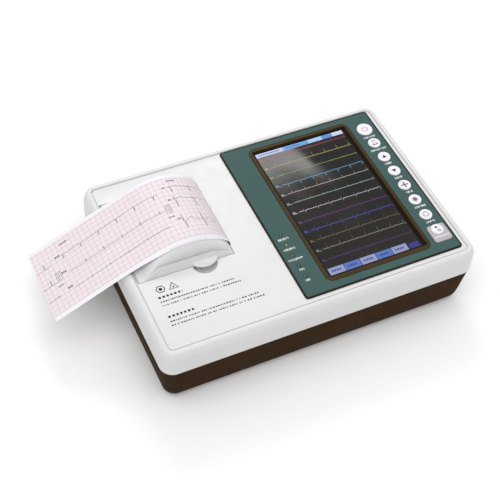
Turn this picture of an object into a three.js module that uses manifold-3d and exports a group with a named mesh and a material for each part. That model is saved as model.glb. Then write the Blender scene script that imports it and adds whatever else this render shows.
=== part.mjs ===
// Desktop electrocardiograph with a fold-up printer door, a keypad and a portrait display.
// Millimetres. X to the right, Y to the back, Z up. The origin is the centre of the case's flat underside.
import * as THREE from 'three';
import { mergeVertices } from 'three/addons/utils/BufferGeometryUtils.js';
import Module from 'manifold-3d';

const wasm = await Module();
wasm.setup();

// ---------- driving dimensions ----------
const HALF_X = 156;
const HALF_Y = 105;
const CASE_CORNER = 12.5;
const FLOOR_TOP = 3;
const SPLIT = 45;
const PANEL = 71;
const RIM = 72;
const PANEL_UNDER = 68.5;
const GAP = 0.3;
const SEAM = 0.05;

const SCREW_X = 134;
const SCREW_Y = 88;
const FOOT_X = 118;
const FOOT_Y = 72;

const DOOR = { x0: -144.5, x1: -54.5, y0: -20.6, y1: 76.5, skirt: 67.3, skin: 2.2 };
const DOOR_HOLE = { x0: -146.8, x1: -52.2, y0: -21.3, y1: 77.3 };
const HINGE = { x: -141, z: 67, pin: 1.5 };
const FACET_SLOPE = 2.14;
const RIDGE = 7.3;
const CROWN_Y = -8.5;

const PAPER_Y0 = -10;
const PAPER_Y1 = 70;
const ROLL = { x: -100, z: 38, r: 25, core: 8.5 };
const PLATEN = { x: -59.3, z: 63.5, r: 6.2, shaft: 2 };
const WEB_HALF = 0.2;

const MODULE = 0.7;
const PLATEN_TEETH = 18;
const IDLER_TEETH = 34;
const PINION_TEETH = 12;
const GEAR_Y0 = 73.8;
const GEAR_Y1 = 76.6;

const PLATE = { x0: -17.4, x1: 144.1, y0: -92.8, y1: 96.2, r: 3 };
const PLATE_TOP = 72;
const OVERLAY_TOP = 72.5;
const PLATE_RIM = 1.05;
const BEZEL = { x0: 9, x1: 117, y0: -83.6, y1: 88.6, r: 7 };
const GLASS = { x0: 13.4, x1: 112.8, y0: -78.7, y1: 84.1 };
const GLASS_TOP = 70.6;
const LCD = { x0: 11.4, x1: 114.6, y0: -81, y1: 86 };
const LCD_TOP = 69.3;

const KEY_X = 131;
const KEY_R = 6.2;
const KEY_FLANGE = 7.4;
const KEY_TOP = 73.6;
const POWER_R = 7.9;
const POWER_FLANGE = 8.7;
const KEYS = [
  { name: 'key_power', y: 73, r: POWER_R, flange: POWER_FLANGE },
  { name: 'key_setup', y: 53, r: KEY_R, flange: KEY_FLANGE },
  { name: 'key_prev', y: 33, r: KEY_R, flange: KEY_FLANGE },
  { name: 'key_next', y: 13, r: KEY_R, flange: KEY_FLANGE },
  { name: 'key_insert', y: -7, r: KEY_R, flange: KEY_FLANGE },
  { name: 'key_freeze', y: -27, r: KEY_R, flange: KEY_FLANGE },
  { name: 'key_mode', y: -47, r: KEY_R, flange: KEY_FLANGE },
];
const PRINT_KEY = { x0: 122.25, x1: 140.75, y0: -81.2, y1: -61.2, r: 3 };

const ROCKER = { x: 79.3, y: 99.6 };
const FUSE_X = 59.4;
const INLET_X = 108;
const POST_X = 130.5;
const SOCKET_Z = 23;
const PATIENT_Y = 36;
const USB_Y = 4;

const LED_X = -6.9;
const LED_NAMES = ['led_ready', 'led_error', 'led_charge', 'led_dc', 'led_mains'];
const LED_Y0 = -19;
const LED_PITCH = -12.55;

// ---------- materials ----------
function material(color, roughness, metalness = 0) {
  return new THREE.MeshStandardMaterial({ color, roughness, metalness });
}

const WHITE_PLASTIC = material(0xf0f0ee, 0.45);
const BROWN_PLASTIC = material(0x3a2b20, 0.55);
const RIM_PLASTIC = material(0x1a1408, 0.5);
const BEZEL_PLASTIC = material(0x42310f, 0.45);
const OVERLAY_FILM = material(0x4a6864, 0.5);
const SCREEN_GLASS = material(0x0c0f12, 0.08);
const KEY_WHITE = material(0xececea, 0.5);
const KEY_GREY = material(0xb9b6ba, 0.5);
const LED_GREEN = material(0x1d3a24, 0.2);
const PAPER = material(0xf3e6ec, 0.75);
const CARDBOARD = material(0xb08d62, 0.9);
const RUBBER = material(0x1b1b1c, 0.85);
const STEEL = material(0x9a9da1, 0.35, 0.9);
const ALUMINIUM = material(0xb4b8bb, 0.4, 0.85);
const BRASS = material(0xb79345, 0.35, 0.9);
const BLACK_PLASTIC = material(0x161616, 0.5);
const NYLON = material(0xdcd8c8, 0.6);
const BOARD = material(0x1f5a35, 0.6);
const CELL = material(0x2c4f8c, 0.55);
const CERAMIC = material(0x5d4a3c, 0.3);

// ---------- solids ----------
function solid(geometry) {
  const flat = geometry.index ? geometry.toNonIndexed() : geometry.clone();
  flat.deleteAttribute('normal');
  flat.deleteAttribute('uv');
  const merged = mergeVertices(flat, 1e-4);
  return new wasm.Manifold(new wasm.Mesh({
    numProp: 3,
    vertProperties: new Float32Array(merged.attributes.position.array),
    triVerts: new Uint32Array(merged.index.array),
  }));
}

function geometryOf(manifold) {
  const mesh = manifold.getMesh();
  const geometry = new THREE.BufferGeometry();
  geometry.setAttribute('position', new THREE.BufferAttribute(new Float32Array(mesh.vertProperties), 3));
  geometry.setIndex(new THREE.BufferAttribute(new Uint32Array(mesh.triVerts), 1));
  geometry.computeVertexNormals();
  return geometry;
}

function join(first, ...rest) {
  return rest.reduce((whole, piece) => whole.add(piece), first);
}

function cut(first, ...rest) {
  return rest.reduce((whole, piece) => whole.subtract(piece), first);
}

function block(x0, x1, y0, y1, z0, z1) {
  const geometry = new THREE.BoxGeometry(x1 - x0, y1 - y0, z1 - z0);
  geometry.translate((x0 + x1) / 2, (y0 + y1) / 2, (z0 + z1) / 2);
  return solid(geometry);
}

function discZ(x, y, r, z0, z1, segments = 32) {
  const geometry = new THREE.CylinderGeometry(r, r, z1 - z0, segments);
  geometry.rotateX(Math.PI / 2);
  geometry.translate(x, y, (z0 + z1) / 2);
  return solid(geometry);
}

function rodY(x, z, r, y0, y1, segments = 32) {
  const geometry = new THREE.CylinderGeometry(r, r, y1 - y0, segments);
  geometry.translate(x, (y0 + y1) / 2, z);
  return solid(geometry);
}

function rodX(y, z, r, x0, x1, segments = 24) {
  const geometry = new THREE.CylinderGeometry(r, r, x1 - x0, segments);
  geometry.rotateZ(Math.PI / 2);
  geometry.translate((x0 + x1) / 2, y, z);
  return solid(geometry);
}

// A round body turned about a vertical line: pairs of radius and height, from the bottom up.
function turnedZ(x, y, profile, segments = 32) {
  const points = [new THREE.Vector2(0, profile[0][1])];
  for (const [r, z] of profile) {
    points.push(new THREE.Vector2(r, z));
  }
  points.push(new THREE.Vector2(0, profile[profile.length - 1][1]));
  const geometry = new THREE.LatheGeometry(points, segments);
  geometry.rotateX(Math.PI / 2);
  geometry.translate(x, y, 0);
  return solid(geometry);
}

// The corners of a rounded rectangle, anticlockwise from above.
function roundedOutline(x0, x1, y0, y1, r, steps) {
  const centres = [
    [x1 - r, y1 - r, 0],
    [x0 + r, y1 - r, 1],
    [x0 + r, y0 + r, 2],
    [x1 - r, y0 + r, 3],
  ];
  const points = [];
  for (const [cx, cy, quarter] of centres) {
    for (let i = 0; i <= steps; i += 1) {
      const angle = (quarter + i / steps) * Math.PI / 2;
      points.push([cx + r * Math.cos(angle), cy + r * Math.sin(angle)]);
    }
  }
  return points;
}

// A closed body through a stack of rounded rectangles, from the bottom up.
function stack(rings, steps = 4) {
  const outlines = rings.map(({ x0, x1, y0, y1, r }) => roundedOutline(x0, x1, y0, y1, r, steps));
  const count = outlines[0].length;
  const positions = [];
  outlines.forEach((outline, level) => {
    for (const [x, y] of outline) {
      positions.push(x, y, rings[level].z);
    }
  });
  const index = [];
  for (let level = 0; level < rings.length - 1; level += 1) {
    for (let i = 0; i < count; i += 1) {
      const a = level * count + i;
      const b = level * count + (i + 1) % count;
      index.push(a, b, b + count, a, b + count, a + count);
    }
  }
  const top = (rings.length - 1) * count;
  for (let i = 1; i < count - 1; i += 1) {
    index.push(0, i + 1, i);
    index.push(top, top + i, top + i + 1);
  }
  const geometry = new THREE.BufferGeometry();
  geometry.setAttribute('position', new THREE.Float32BufferAttribute(positions, 3));
  geometry.setIndex(index);
  return solid(geometry);
}

function plate(x0, x1, y0, y1, r, z0, z1, steps = 3) {
  return stack([{ x0, x1, y0, y1, r, z: z0 }, { x0, x1, y0, y1, r, z: z1 }], steps);
}

function caseRing(inset, z, r) {
  return { x0: -HALF_X + inset, x1: HALF_X - inset, y0: -HALF_Y + inset, y1: HALF_Y - inset, r, z };
}

// A flat outline in X and Z, drawn out along Y.
function extrudeY(points, y0, y1) {
  const shape = new THREE.Shape(points.map(([x, z]) => new THREE.Vector2(x, z)));
  const geometry = new THREE.ExtrudeGeometry(shape, { depth: y1 - y0, bevelEnabled: false });
  geometry.rotateX(Math.PI / 2);
  geometry.translate(0, y1, 0);
  return solid(geometry);
}

// ---------- the case ----------
function topCover() {
  const outer = stack([
    [0, SPLIT + GAP / 2], [0.2, 60], [0.5, 63.5], [1.4, 67], [2.8, 69.6], [4.4, 71.3],
    [5.6, RIM], [6.3, RIM], [7.2, 71.6], [7.6, PANEL],
  ].map(([inset, z]) => caseRing(inset, z, CASE_CORNER - inset)));
  const cavity = stack([
    [2.5, SPLIT - 1], [2.5, 61.5], [3.4, 65], [5.5, 67.4], [8, PANEL_UNDER],
  ].map(([inset, z]) => caseRing(inset, z, CASE_CORNER - inset)));
  let cover = cut(outer, cavity);
  for (const sx of [-1, 1]) {
    for (const sy of [-1, 1]) {
      cover = cover.add(discZ(sx * SCREW_X, sy * SCREW_Y, 4.5, SPLIT + GAP, PANEL_UNDER + 0.5, 14));
      cover = cover.subtract(discZ(sx * SCREW_X, sy * SCREW_Y, 2.1, SPLIT - 1, 60, 10));
    }
  }
  cover = cover.add(plate(-99, -68.5, -36, -20, 4, 61.5, PANEL_UNDER + 0.5));
  const scoop = new THREE.SphereGeometry(1, 20, 12);
  scoop.scale(11.8, 11.4, 8.2);
  scoop.translate(-83.4, -21.5, 72);
  const ledY1 = LED_Y0 + 4.5;
  const ledY0 = LED_Y0 + 4 * LED_PITCH - 4.5;
  return cut(
    cover,
    block(DOOR_HOLE.x0, DOOR_HOLE.x1, DOOR_HOLE.y0, DOOR_HOLE.y1, 58, 80),
    solid(scoop),
    block(LCD.x0 - 0.8, LCD.x1 + 0.8, LCD.y0 - 0.8, LCD.y1 + 0.8, 60, 80),
    block(KEY_X - 9.4, KEY_X + 10.4, -83, 83, 60, 80),
    block(LED_X - 3.3, LED_X + 3.3, ledY0, ledY1, 60, 80),
  );
}

function bottomCase() {
  const outer = stack([
    [13, 0], [9.8, 0.6], [6.8, 2.8], [4.6, 7.4], [3.6, 14], [0.3, SPLIT - GAP / 2],
  ].map(([inset, z]) => caseRing(inset, z, CASE_CORNER - 0.35 * inset)));
  const cavity = stack([
    [14, FLOOR_TOP], [9.6, 5], [7.4, 9], [6.2, 14], [2.9, SPLIT + 1],
  ].map(([inset, z]) => caseRing(inset, z, CASE_CORNER - 0.35 * inset)));
  let shell = cut(outer, cavity);
  shell = join(
    shell,
    block(50, 137, 96.5, 100.9, 6, 41),
    block(147.5, 151.9, -22, 66, 8, 38),
  );
  shell = cut(
    shell,
    plate(50, 137, 101, 120, 1.5, 7, 40),
    block(152, 170, -22, 66, 9, 37),
  );
  for (const sx of [-1, 1]) {
    for (const sy of [-1, 1]) {
      shell = shell.add(discZ(sx * SCREW_X, sy * SCREW_Y, 5.6, 2, SPLIT - GAP, 16));
      shell = shell.subtract(discZ(sx * SCREW_X, sy * SCREW_Y, 3.8, -1, 6, 14));
      shell = shell.subtract(discZ(sx * SCREW_X, sy * SCREW_Y, 2.1, 5, SPLIT + 1, 10));
      shell = shell.subtract(discZ(sx * FOOT_X, sy * FOOT_Y, 7.4, -1, 1.4, 20));
    }
  }
  const tray = cut(
    block(-24, 64, -90, -42, 2, 24),
    block(-22.4, 62.4, -88.4, -43.6, -1, 30),
  );
  shell = shell.add(tray);
  shell = cut(
    shell,
    plate(-25.3, 65.3, -91.3, -40.7, 3.3, -1, 2),
    block(-22.4, 62.4, -88.4, -43.6, -1, 10),
    block(94.4, 121.6, 90, 120, 13.2, 33.0),
    block(ROCKER.x - 10.7, ROCKER.x + 10.7, 90, 120, 16.4, 29.6),
    rodY(FUSE_X, 23, 6.3, 90, 120, 20),
    rodY(130.5, 23, 2.6, 90, 120, 20),
    plate(140, 170, 22, 50, 1, 17.4, 28.6),
    block(140, 170, -3.6, 11.6, 18.6, 27.4),
  );
  for (const y of [16.4, 55.6]) {
    shell = shell.subtract(rodX(y, 23, 1.8, 140, 170, 16));
  }
  return shell;
}

function rubberFoot(x, y) {
  return turnedZ(x, y, [[6.4, -2], [7, -1.4], [7, 1.1]], 20);
}

function caseScrew(x, y) {
  return turnedZ(x, y, [[3.3, 3.3], [3.3, 5.6], [1.7, 5.7], [1.7, 57], [1.1, 58]], 12);
}

function batteryDoor() {
  const body = plate(-25, 65, -91, -41, 3, 0.2, 1.7);
  const finger = turnedZ(20, -84, [[5, 0], [5, 0.9]], 24);
  return cut(
    body,
    finger,
    discZ(-16, -45, 1.6, -1, 3, 16),
    discZ(56, -45, 1.6, -1, 3, 16),
  );
}

function batteryPack() {
  return join(
    plate(-20, 60, -86, -46, 2.5, 5.4, 23),
    block(52, 58, -70, -62, 22, 25),
  );
}

// ---------- printer door ----------
const ARCH = [
  [-144.5, 0.2], [-142, 0.8], [-139, 2], [-136, 4.2], [-133, 7.1], [-130, 9.9], [-127, 12.5],
  [-120, 16.7], [-112, 20.3], [-104, 22.9], [-97, 23.8], [-90, 23.8], [-83, 22.8], [-76, 20.7],
  [-70, 18], [-65, 14.9], [-60.5, 10.8], [-57.5, 7], [-55.5, 3.5], [-54.5, 0.3],
];

function ridgeAt(x) {
  const left = (x + 140) / (140 - 124.7);
  const right = (-54.5 - x) / (72.7 - 54.5);
  const share = Math.max(0, Math.min(1, left, right));
  return 0.2 + share * (RIDGE - 0.2);
}

// One cross row of the front flank: the foot, the ridge, the valley behind it and the rise to the crown.
function flankRow(x, crown) {
  const ridge = Math.min(ridgeAt(x), crown);
  const ridgeY = DOOR.y0 + ridge / FACET_SLOPE;
  const row = [[DOOR.y0, 0], [ridgeY, ridge]];
  for (const t of [0.18, 0.4, 0.65, 0.85, 1]) {
    const rise = t * t * (3 - 2 * t);
    row.push([ridgeY + t * (CROWN_Y - ridgeY), ridge + (crown - ridge) * rise]);
  }
  return row;
}

// A closed body between the domed door top and a flat base. scale and drop make the inner surface.
function doorDome(base, inset, drop) {
  const middleX = (DOOR.x0 + DOOR.x1) / 2;
  const middleY = (DOOR.y0 + DOOR.y1) / 2;
  const scaleX = 1 - 2 * inset / (DOOR.x1 - DOOR.x0);
  const scaleY = 1 - 2 * inset / (DOOR.y1 - DOOR.y0);
  const rows = ARCH.map(([x, crown]) => {
    const front = flankRow(x, crown);
    const back = front.map(([y, z]) => [DOOR.y0 + DOOR.y1 - y, z]).reverse();
    return [...front, [middleY, crown], ...back].map(([y, z]) => [
      middleX + (x - middleX) * scaleX,
      middleY + (y - middleY) * scaleY,
      PANEL + z - drop,
    ]);
  });
  const across = rows[0].length;
  const layer = rows.length * across;
  const positions = [];
  for (const row of rows) {
    for (const [x, y, z] of row) {
      positions.push(x, y, z);
    }
  }
  for (const row of rows) {
    for (const [x, y] of row) {
      positions.push(x, y, base);
    }
  }
  const index = [];
  const quad = (a, b, c, d) => index.push(a, b, c, a, c, d);
  for (let i = 0; i < rows.length - 1; i += 1) {
    for (let j = 0; j < across - 1; j += 1) {
      const a = i * across + j;
      quad(a, a + across, a + across + 1, a + 1);
      quad(layer + a, layer + a + 1, layer + a + across + 1, layer + a + across);
    }
    const first = i * across;
    const last = first + across - 1;
    quad(first, layer + first, layer + first + across, first + across);
    quad(last, last + across, layer + last + across, layer + last);
  }
  const end = (rows.length - 1) * across;
  for (let j = 0; j < across - 1; j += 1) {
    quad(j, j + 1, layer + j + 1, layer + j);
    quad(end + j, layer + end + j, layer + end + j + 1, end + j + 1);
  }
  const geometry = new THREE.BufferGeometry();
  geometry.setAttribute('position', new THREE.Float32BufferAttribute(positions, 3));
  geometry.setIndex(index);
  return solid(geometry);
}

function printerDoor() {
  const tab = cut(
    turnedZ(-82.3, -11.6, [[14.8, 71.8], [15.4, 72.3], [15.4, 73], [14.6, 73.4]], 48),
    block(-120, -40, -14, 20, 60, 90),
  );
  let door = cut(
    join(doorDome(DOOR.skirt, 0, 0), tab),
    doorDome(DOOR.skirt - 1, DOOR.skin, DOOR.skin),
    rodY(PLATEN.x, PLATEN.z, PLATEN.r + 0.5, PAPER_Y0 - 1.2, PAPER_Y1 + 1.2, 32),
    rodY(PLATEN.x, PLATEN.z, MODULE * PLATEN_TEETH / 2 + 1.1, GEAR_Y0 - 0.5, 90, 32),
    rodY(HINGE.x, HINGE.z, HINGE.pin + GAP, -17, 75, 20),
    rodY(HINGE.x, HINGE.z, 3, -15.6, -13.3, 20),
    rodY(HINGE.x, HINGE.z, 3, 71.3, 73.6, 20),
  );
  for (const [y0, y1] of [[-13.2, -11.4], [71.2, 73]]) {
    const cheek = cut(
      block(-64.4, -56.4, y0, y1, 58.6, 78),
      rodY(PLATEN.x, PLATEN.z, PLATEN.shaft + GAP, y0 - 1, y1 + 1, 24),
    );
    door = door.add(cut(cheek, aboveDoor()));
  }
  for (const [y0, y1] of [[-13, -4], [62, 71]]) {
    const knuckle = join(rodY(HINGE.x, HINGE.z, 2.9, y0, y1, 20), block(HINGE.x - 2.6, HINGE.x + 2.6, y0, y1, 67, 70.5));
    door = door.add(knuckle);
    door = door.subtract(rodY(HINGE.x, HINGE.z, HINGE.pin + GAP, y0 - 1, y1 + 1, 20));
  }
  return door;
}

// Everything above the door's outer surface, for trimming what is joined on underneath.
function aboveDoor() {
  return cut(block(-150, -50, -25, 80, 60, 110), doorDome(50, 0, 0.6));
}

function hingePin() {
  return rodY(HINGE.x, HINGE.z, HINGE.pin, -16.4, 74.4, 20);
}

// ---------- printer mechanism ----------
function printerFrame() {
  const walls = [[-15.2, -13.7], [71.7, 73.2]];
  let frame = cut(
    block(-132, -40.5, -15.2, 73.2, 5, 64),
    block(-130.5, -42, -13.7, 71.7, 6.5, 80),
    block(-67, -30, -30, 90, 55, 80),
    block(ROLL.x - 3.3, ROLL.x + 3.3, -30, 90, ROLL.z, 80),
    rodY(ROLL.x, ROLL.z, 3.3, -30, 90, 20),
    rodY(idlerCentre()[0], idlerCentre()[1], 2 + GAP, 60, 90, 20),
  );
  for (const [y0, y1] of walls) {
    const ear = cut(
      join(
        block(HINGE.x + 0.2, -131, y0, y1, 56, 62),
        rodY(HINGE.x, HINGE.z, 2.6, y0, y1, 20),
        block(HINGE.x + 0.2, HINGE.x + 2.6, y0, y1, 57, HINGE.z),
      ),
      rodY(HINGE.x, HINGE.z, HINGE.pin + GAP, y0 - 1, y1 + 1, 20),
    );
    frame = frame.add(ear);
  }
  for (const x of [-122, -52]) {
    for (const y of [-8, 66]) {
      frame = frame.add(discZ(x, y, 4, FLOOR_TOP + GAP, 5.6, 16));
    }
  }
  return frame;
}

function printHead() {
  return block(-52.2, -50.9, -12, 72, 55.5, 67.4);
}

function headSink() {
  const fins = [-50.6, -48.6];
  let sink = block(fins[0], fins[1], -12, 71, 50, 67.4);
  for (const z of [51, 54.4, 57.8, 61.2, 64.6]) {
    sink = sink.add(block(-49, -43, -12, 71, z, z + 1.2));
  }
  return sink;
}

function platenShaft() {
  return rodY(PLATEN.x, PLATEN.z, PLATEN.shaft, -15, 77, 20);
}

function platenRubber() {
  return cut(
    rodY(PLATEN.x, PLATEN.z, PLATEN.r, PAPER_Y0 - 0.6, PAPER_Y1 + 0.6, 40),
    rodY(PLATEN.x, PLATEN.z, PLATEN.shaft + 0.2, -30, 90, 24),
  );
}

// Gear angles are in the X Z plane, from +X towards +Z. phase is the angle of one tooth's middle.
function gear(centre, teeth, phase, bore) {
  const pitch = MODULE * teeth / 2;
  const tip = pitch + 0.85 * MODULE;
  const root = pitch - 1.25 * MODULE;
  const points = [];
  for (let i = 0; i < teeth; i += 1) {
    const middle = phase + i * 2 * Math.PI / teeth;
    for (const [r, half] of [[root, -0.9], [tip, -0.27], [tip, 0.27], [root, 0.9]]) {
      const angle = middle + half * MODULE / r;
      points.push([centre[0] + r * Math.cos(angle), centre[1] + r * Math.sin(angle)]);
    }
  }
  return cut(
    extrudeY(points, GEAR_Y0, GEAR_Y1),
    rodY(centre[0], centre[1], bore, GEAR_Y0 - 1, GEAR_Y1 + 1, 20),
  );
}

function idlerCentre() {
  return [PLATEN.x, PLATEN.z - MODULE * (PLATEN_TEETH + IDLER_TEETH) / 2 - 0.1];
}

const PINION_ANGLE = -Math.PI / 6;

function pinionCentre() {
  const reach = MODULE * (PINION_TEETH + IDLER_TEETH) / 2 + 0.1;
  const [x, z] = idlerCentre();
  return [x + reach * Math.cos(PINION_ANGLE), z + reach * Math.sin(PINION_ANGLE)];
}

const IDLER_PHASE = Math.PI / 2 + Math.PI / IDLER_TEETH;

// The pinion's phase that puts a gap over the idler's nearest tooth on the line of centres.
function pinionPhase() {
  const step = 2 * Math.PI / IDLER_TEETH;
  const turns = Math.round((PINION_ANGLE - IDLER_PHASE) / step);
  const offset = IDLER_PHASE + turns * step - PINION_ANGLE;
  const gap = PINION_ANGLE + Math.PI - offset * IDLER_TEETH / PINION_TEETH;
  return gap + Math.PI / PINION_TEETH;
}

function platenGear() {
  return gear([PLATEN.x, PLATEN.z], PLATEN_TEETH, -Math.PI / 2, PLATEN.shaft + 0.2);
}

function idlerGear() {
  return gear(idlerCentre(), IDLER_TEETH, IDLER_PHASE, 2.3);
}

function idlerPin() {
  const [x, z] = idlerCentre();
  return rodY(x, z, 2, 70.6, 77.4, 20);
}

function motorPinion() {
  return gear(pinionCentre(), PINION_TEETH, pinionPhase(), 1.3);
}

function stepperMotor() {
  const [x, z] = pinionCentre();
  return join(
    rodY(x, z, 12.5, 80, 96, 32),
    block(x - 17.5, x + 17.5, 79, 80.5, z - 8, z + 8),
    block(x - 17.5, x + 17.5, 79, 80.5, FLOOR_TOP + GAP, z),
    rodY(x, z, 3.5, 78, 80, 20),
    rodY(x, z, 1, 73.6, 80, 16),
  );
}

function paperRoll() {
  return cut(
    rodY(ROLL.x, ROLL.z, ROLL.r, PAPER_Y0 + 0.2, PAPER_Y1 - 0.2, 40),
    rodY(ROLL.x, ROLL.z, ROLL.core + 0.1, -30, 90, 24),
  );
}

function paperCore() {
  return cut(
    rodY(ROLL.x, ROLL.z, ROLL.core, PAPER_Y0, PAPER_Y1, 24),
    rodY(ROLL.x, ROLL.z, 6.4, -30, 90, 24),
  );
}

function rollAxle() {
  return join(
    rodY(ROLL.x, ROLL.z, 5.8, -13.2, 71.2, 20),
    rodY(ROLL.x, ROLL.z, 3, -16.2, 74.2, 20),
  );
}

// The paper's middle line, from the roll past the platen, out of the slot and over the door.
function webPath() {
  const dx = PLATEN.x - ROLL.x;
  const dz = PLATEN.z - ROLL.z;
  const reach = Math.hypot(dx, dz);
  const lean = Math.atan2(dz, dx) - Math.acos((ROLL.r - PLATEN.r) / reach);
  const stand = WEB_HALF + GAP;
  const points = [];
  for (const turn of [-0.5, -0.25, 0]) {
    const r = ROLL.r + stand;
    points.push([ROLL.x + r * Math.cos(lean + turn), ROLL.z + r * Math.sin(lean + turn)]);
  }
  for (const share of [0, 0.34, 0.67, 1]) {
    const r = PLATEN.r + WEB_HALF + 0.2;
    const angle = lean * (1 - share);
    points.push([PLATEN.x + r * Math.cos(angle), PLATEN.z + r * Math.sin(angle)]);
  }
  const outside = [
    [-52.85, -3], [-53.2, 1.5], [-54.6, 6], [-57.5, 10.2], [-62, 14.2], [-68, 18.3], [-76, 21.9],
    [-84, 24.1], [-92, 25.1], [-99, 25], [-107, 23.7], [-115, 21], [-123, 17.4], [-131, 13.4],
    [-139, 9.2], [-147, 5.3], [-153, 2.6], [-163, -2.4], [-192, -17.5], [-220, -32],
  ];
  for (const [x, z] of outside) {
    points.push([x, PANEL + z]);
  }
  return points;
}

function paperStrip() {
  const curve = new THREE.CatmullRomCurve3(
    webPath().map(([x, z]) => new THREE.Vector3(x, 0, z)), false, 'centripetal');
  const count = 56;
  const one = [];
  const other = [];
  for (let i = 0; i <= count; i += 1) {
    const point = curve.getPoint(i / count);
    const along = curve.getTangent(i / count);
    one.push([point.x - along.z * WEB_HALF, point.z + along.x * WEB_HALF]);
    other.push([point.x + along.z * WEB_HALF, point.z - along.x * WEB_HALF]);
  }
  return extrudeY([...one, ...other.reverse()], PAPER_Y0, PAPER_Y1);
}

// ---------- control panel ----------
function keyOpenings(margin, z0, z1) {
  const holes = KEYS.map(({ y, r }) => discZ(KEY_X, y, r + margin, z0, z1, 24));
  const { x0, x1, y0, y1, r } = PRINT_KEY;
  holes.push(plate(x0 - margin, x1 + margin, y0 - margin, y1 + margin, r + margin, z0, z1));
  return holes;
}

function ledOpenings(z0, z1) {
  return LED_NAMES.map((name, i) => discZ(LED_X, LED_Y0 + i * LED_PITCH, 1.8, z0, z1, 12));
}

function fasciaPlate() {
  const { x0, x1, y0, y1, r } = PLATE;
  const rim = PLATE_RIM;
  return cut(
    stack([
      { x0, x1, y0, y1, r, z: PANEL + SEAM },
      { x0, x1, y0, y1, r, z: 72.1 },
      { x0: x0 + 0.3, x1: x1 - 0.3, y0: y0 + 0.3, y1: y1 - 0.3, r: r - 0.3, z: 72.4 },
    ]),
    plate(x0 + rim, x1 - rim, y0 + rim, y1 - rim, r - rim + 0.4, PLATE_TOP, 80),
    plate(LCD.x0 - 0.4, LCD.x1 + 0.4, LCD.y0 - 0.4, LCD.y1 + 0.4, 1.5, 60, 80),
    ...keyOpenings(0.3, 60, 80),
    ...ledOpenings(60, 80),
  );
}

function frontOverlay() {
  const rim = PLATE_RIM + 0.1;
  const { x0, x1, y0, y1, r } = PLATE;
  return cut(
    plate(x0 + rim, x1 - rim, y0 + rim, y1 - rim, r - rim + 0.3, PLATE_TOP + SEAM, OVERLAY_TOP),
    plate(BEZEL.x0 - 0.3, BEZEL.x1 + 0.3, BEZEL.y0 - 0.3, BEZEL.y1 + 0.3, BEZEL.r + 0.3, 60, 80),
    ...keyOpenings(0.45, 60, 80),
    ...ledOpenings(60, 80),
  );
}

function screenBezel() {
  const { x0, x1, y0, y1, r } = BEZEL;
  const slope = 0.5;
  const inner = { x0: GLASS.x0 - GAP, x1: GLASS.x1 + GAP, y0: GLASS.y0 - GAP, y1: GLASS.y1 + GAP };
  return cut(
    join(
      stack([
        { x0, x1, y0, y1, r, z: PLATE_TOP + SEAM },
        { x0, x1, y0, y1, r, z: 72.6 },
        { x0: x0 + slope, x1: x1 - slope, y0: y0 + slope, y1: y1 - slope, r: r - slope, z: 73 },
      ]),
      plate(LCD.x0 - 0.1, LCD.x1 + 0.1, LCD.y0 - 0.1, LCD.y1 + 0.1, 1.2, LCD_TOP + GAP, 72.2),
    ),
    plate(inner.x0, inner.x1, inner.y0, inner.y1, 1, 60, 80),
  );
}

function screenWindow() {
  return plate(GLASS.x0, GLASS.x1, GLASS.y0, GLASS.y1, 0.8, LCD_TOP + SEAM, GLASS_TOP);
}

function lcdModule() {
  return join(
    plate(LCD.x0, LCD.x1, LCD.y0, LCD.y1, 1, 60.5, LCD_TOP),
    block(LCD.x0 + 12, LCD.x1 - 12, LCD.y0 + 14, LCD.y1 - 14, 58, 61),
  );
}

function roundKey({ y, r, flange }) {
  return turnedZ(KEY_X, y, [
    [3, 65.3], [3, 68.4], [flange, 68.5], [flange, 70.5], [r, 70.6], [r, KEY_TOP - 0.5], [r - 0.5, KEY_TOP - 0.1], [r - 1.4, KEY_TOP],
  ], 24);
}

function printKey() {
  const { x0, x1, y0, y1, r } = PRINT_KEY;
  const middle = (y0 + y1) / 2;
  return join(
    stack([
      { x0, x1, y0, y1, r, z: 70 },
      { x0, x1, y0, y1, r, z: KEY_TOP - 0.5 },
      { x0: x0 + 0.6, x1: x1 - 0.6, y0: y0 + 0.6, y1: y1 - 0.6, r: r - 0.6, z: KEY_TOP },
    ]),
    plate(x0, x1, y0 - 1.3, y1 + 1.3, r, 68.5, 70.5),
    discZ((x0 + x1) / 2, middle, 3, 65.3, 69, 20),
  );
}

function keypadBoard() {
  let board = block(117, 145, -82.6, 82.6, 62, 63.6);
  for (const { y } of [...KEYS, { y: -71.2 }]) {
    board = board.add(discZ(KEY_X, y, 3.6, 63.4, 64.2, 10));
  }
  for (const y of [-78, 78]) {
    board = board.add(discZ(118.9, y, 1.4, 63.4, PANEL_UNDER - GAP, 10));
    board = board.add(discZ(143.4, y, 1.4, 63.4, PANEL_UNDER - GAP, 10));
  }
  return board;
}

function ledLens(index) {
  return turnedZ(LED_X, LED_Y0 + index * LED_PITCH, [
    [1.5, 64.8], [2.4, 65], [2.4, 70.4], [1.5, 70.5], [1.5, 72.4], [1.1, 72.85], [0.5, 73],
  ], 12);
}

function ledBoard() {
  const y0 = LED_Y0 + 4 * LED_PITCH - 4;
  return join(
    block(LED_X - 4, LED_X + 4, y0, LED_Y0 + 4, 63, 64.5),
    block(LED_X - 3, LED_X + 3, y0 + 1, y0 + 3, 60.5, 63.2),
  );
}

// ---------- electronics ----------
function mainBoard() {
  return join(
    block(-30, 112, -34, 60, 40, 41.6),
    block(10, 38, -10, 18, 41.4, 43),
    block(52, 70, 10, 28, 41.4, 43.2),
    block(52, 74, -20, -8, 41.4, 42.8),
    block(-24, -10, -20, 30, 41.4, 47),
    block(84, 106, -6, 24, 41.4, 47.5),
    block(20, 26, 34, 56, 41.4, 46),
    discZ(-22, -28, 3.4, 8, 40.2, 12),
    discZ(104, -28, 3.4, 8, 40.2, 12),
  );
}

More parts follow.
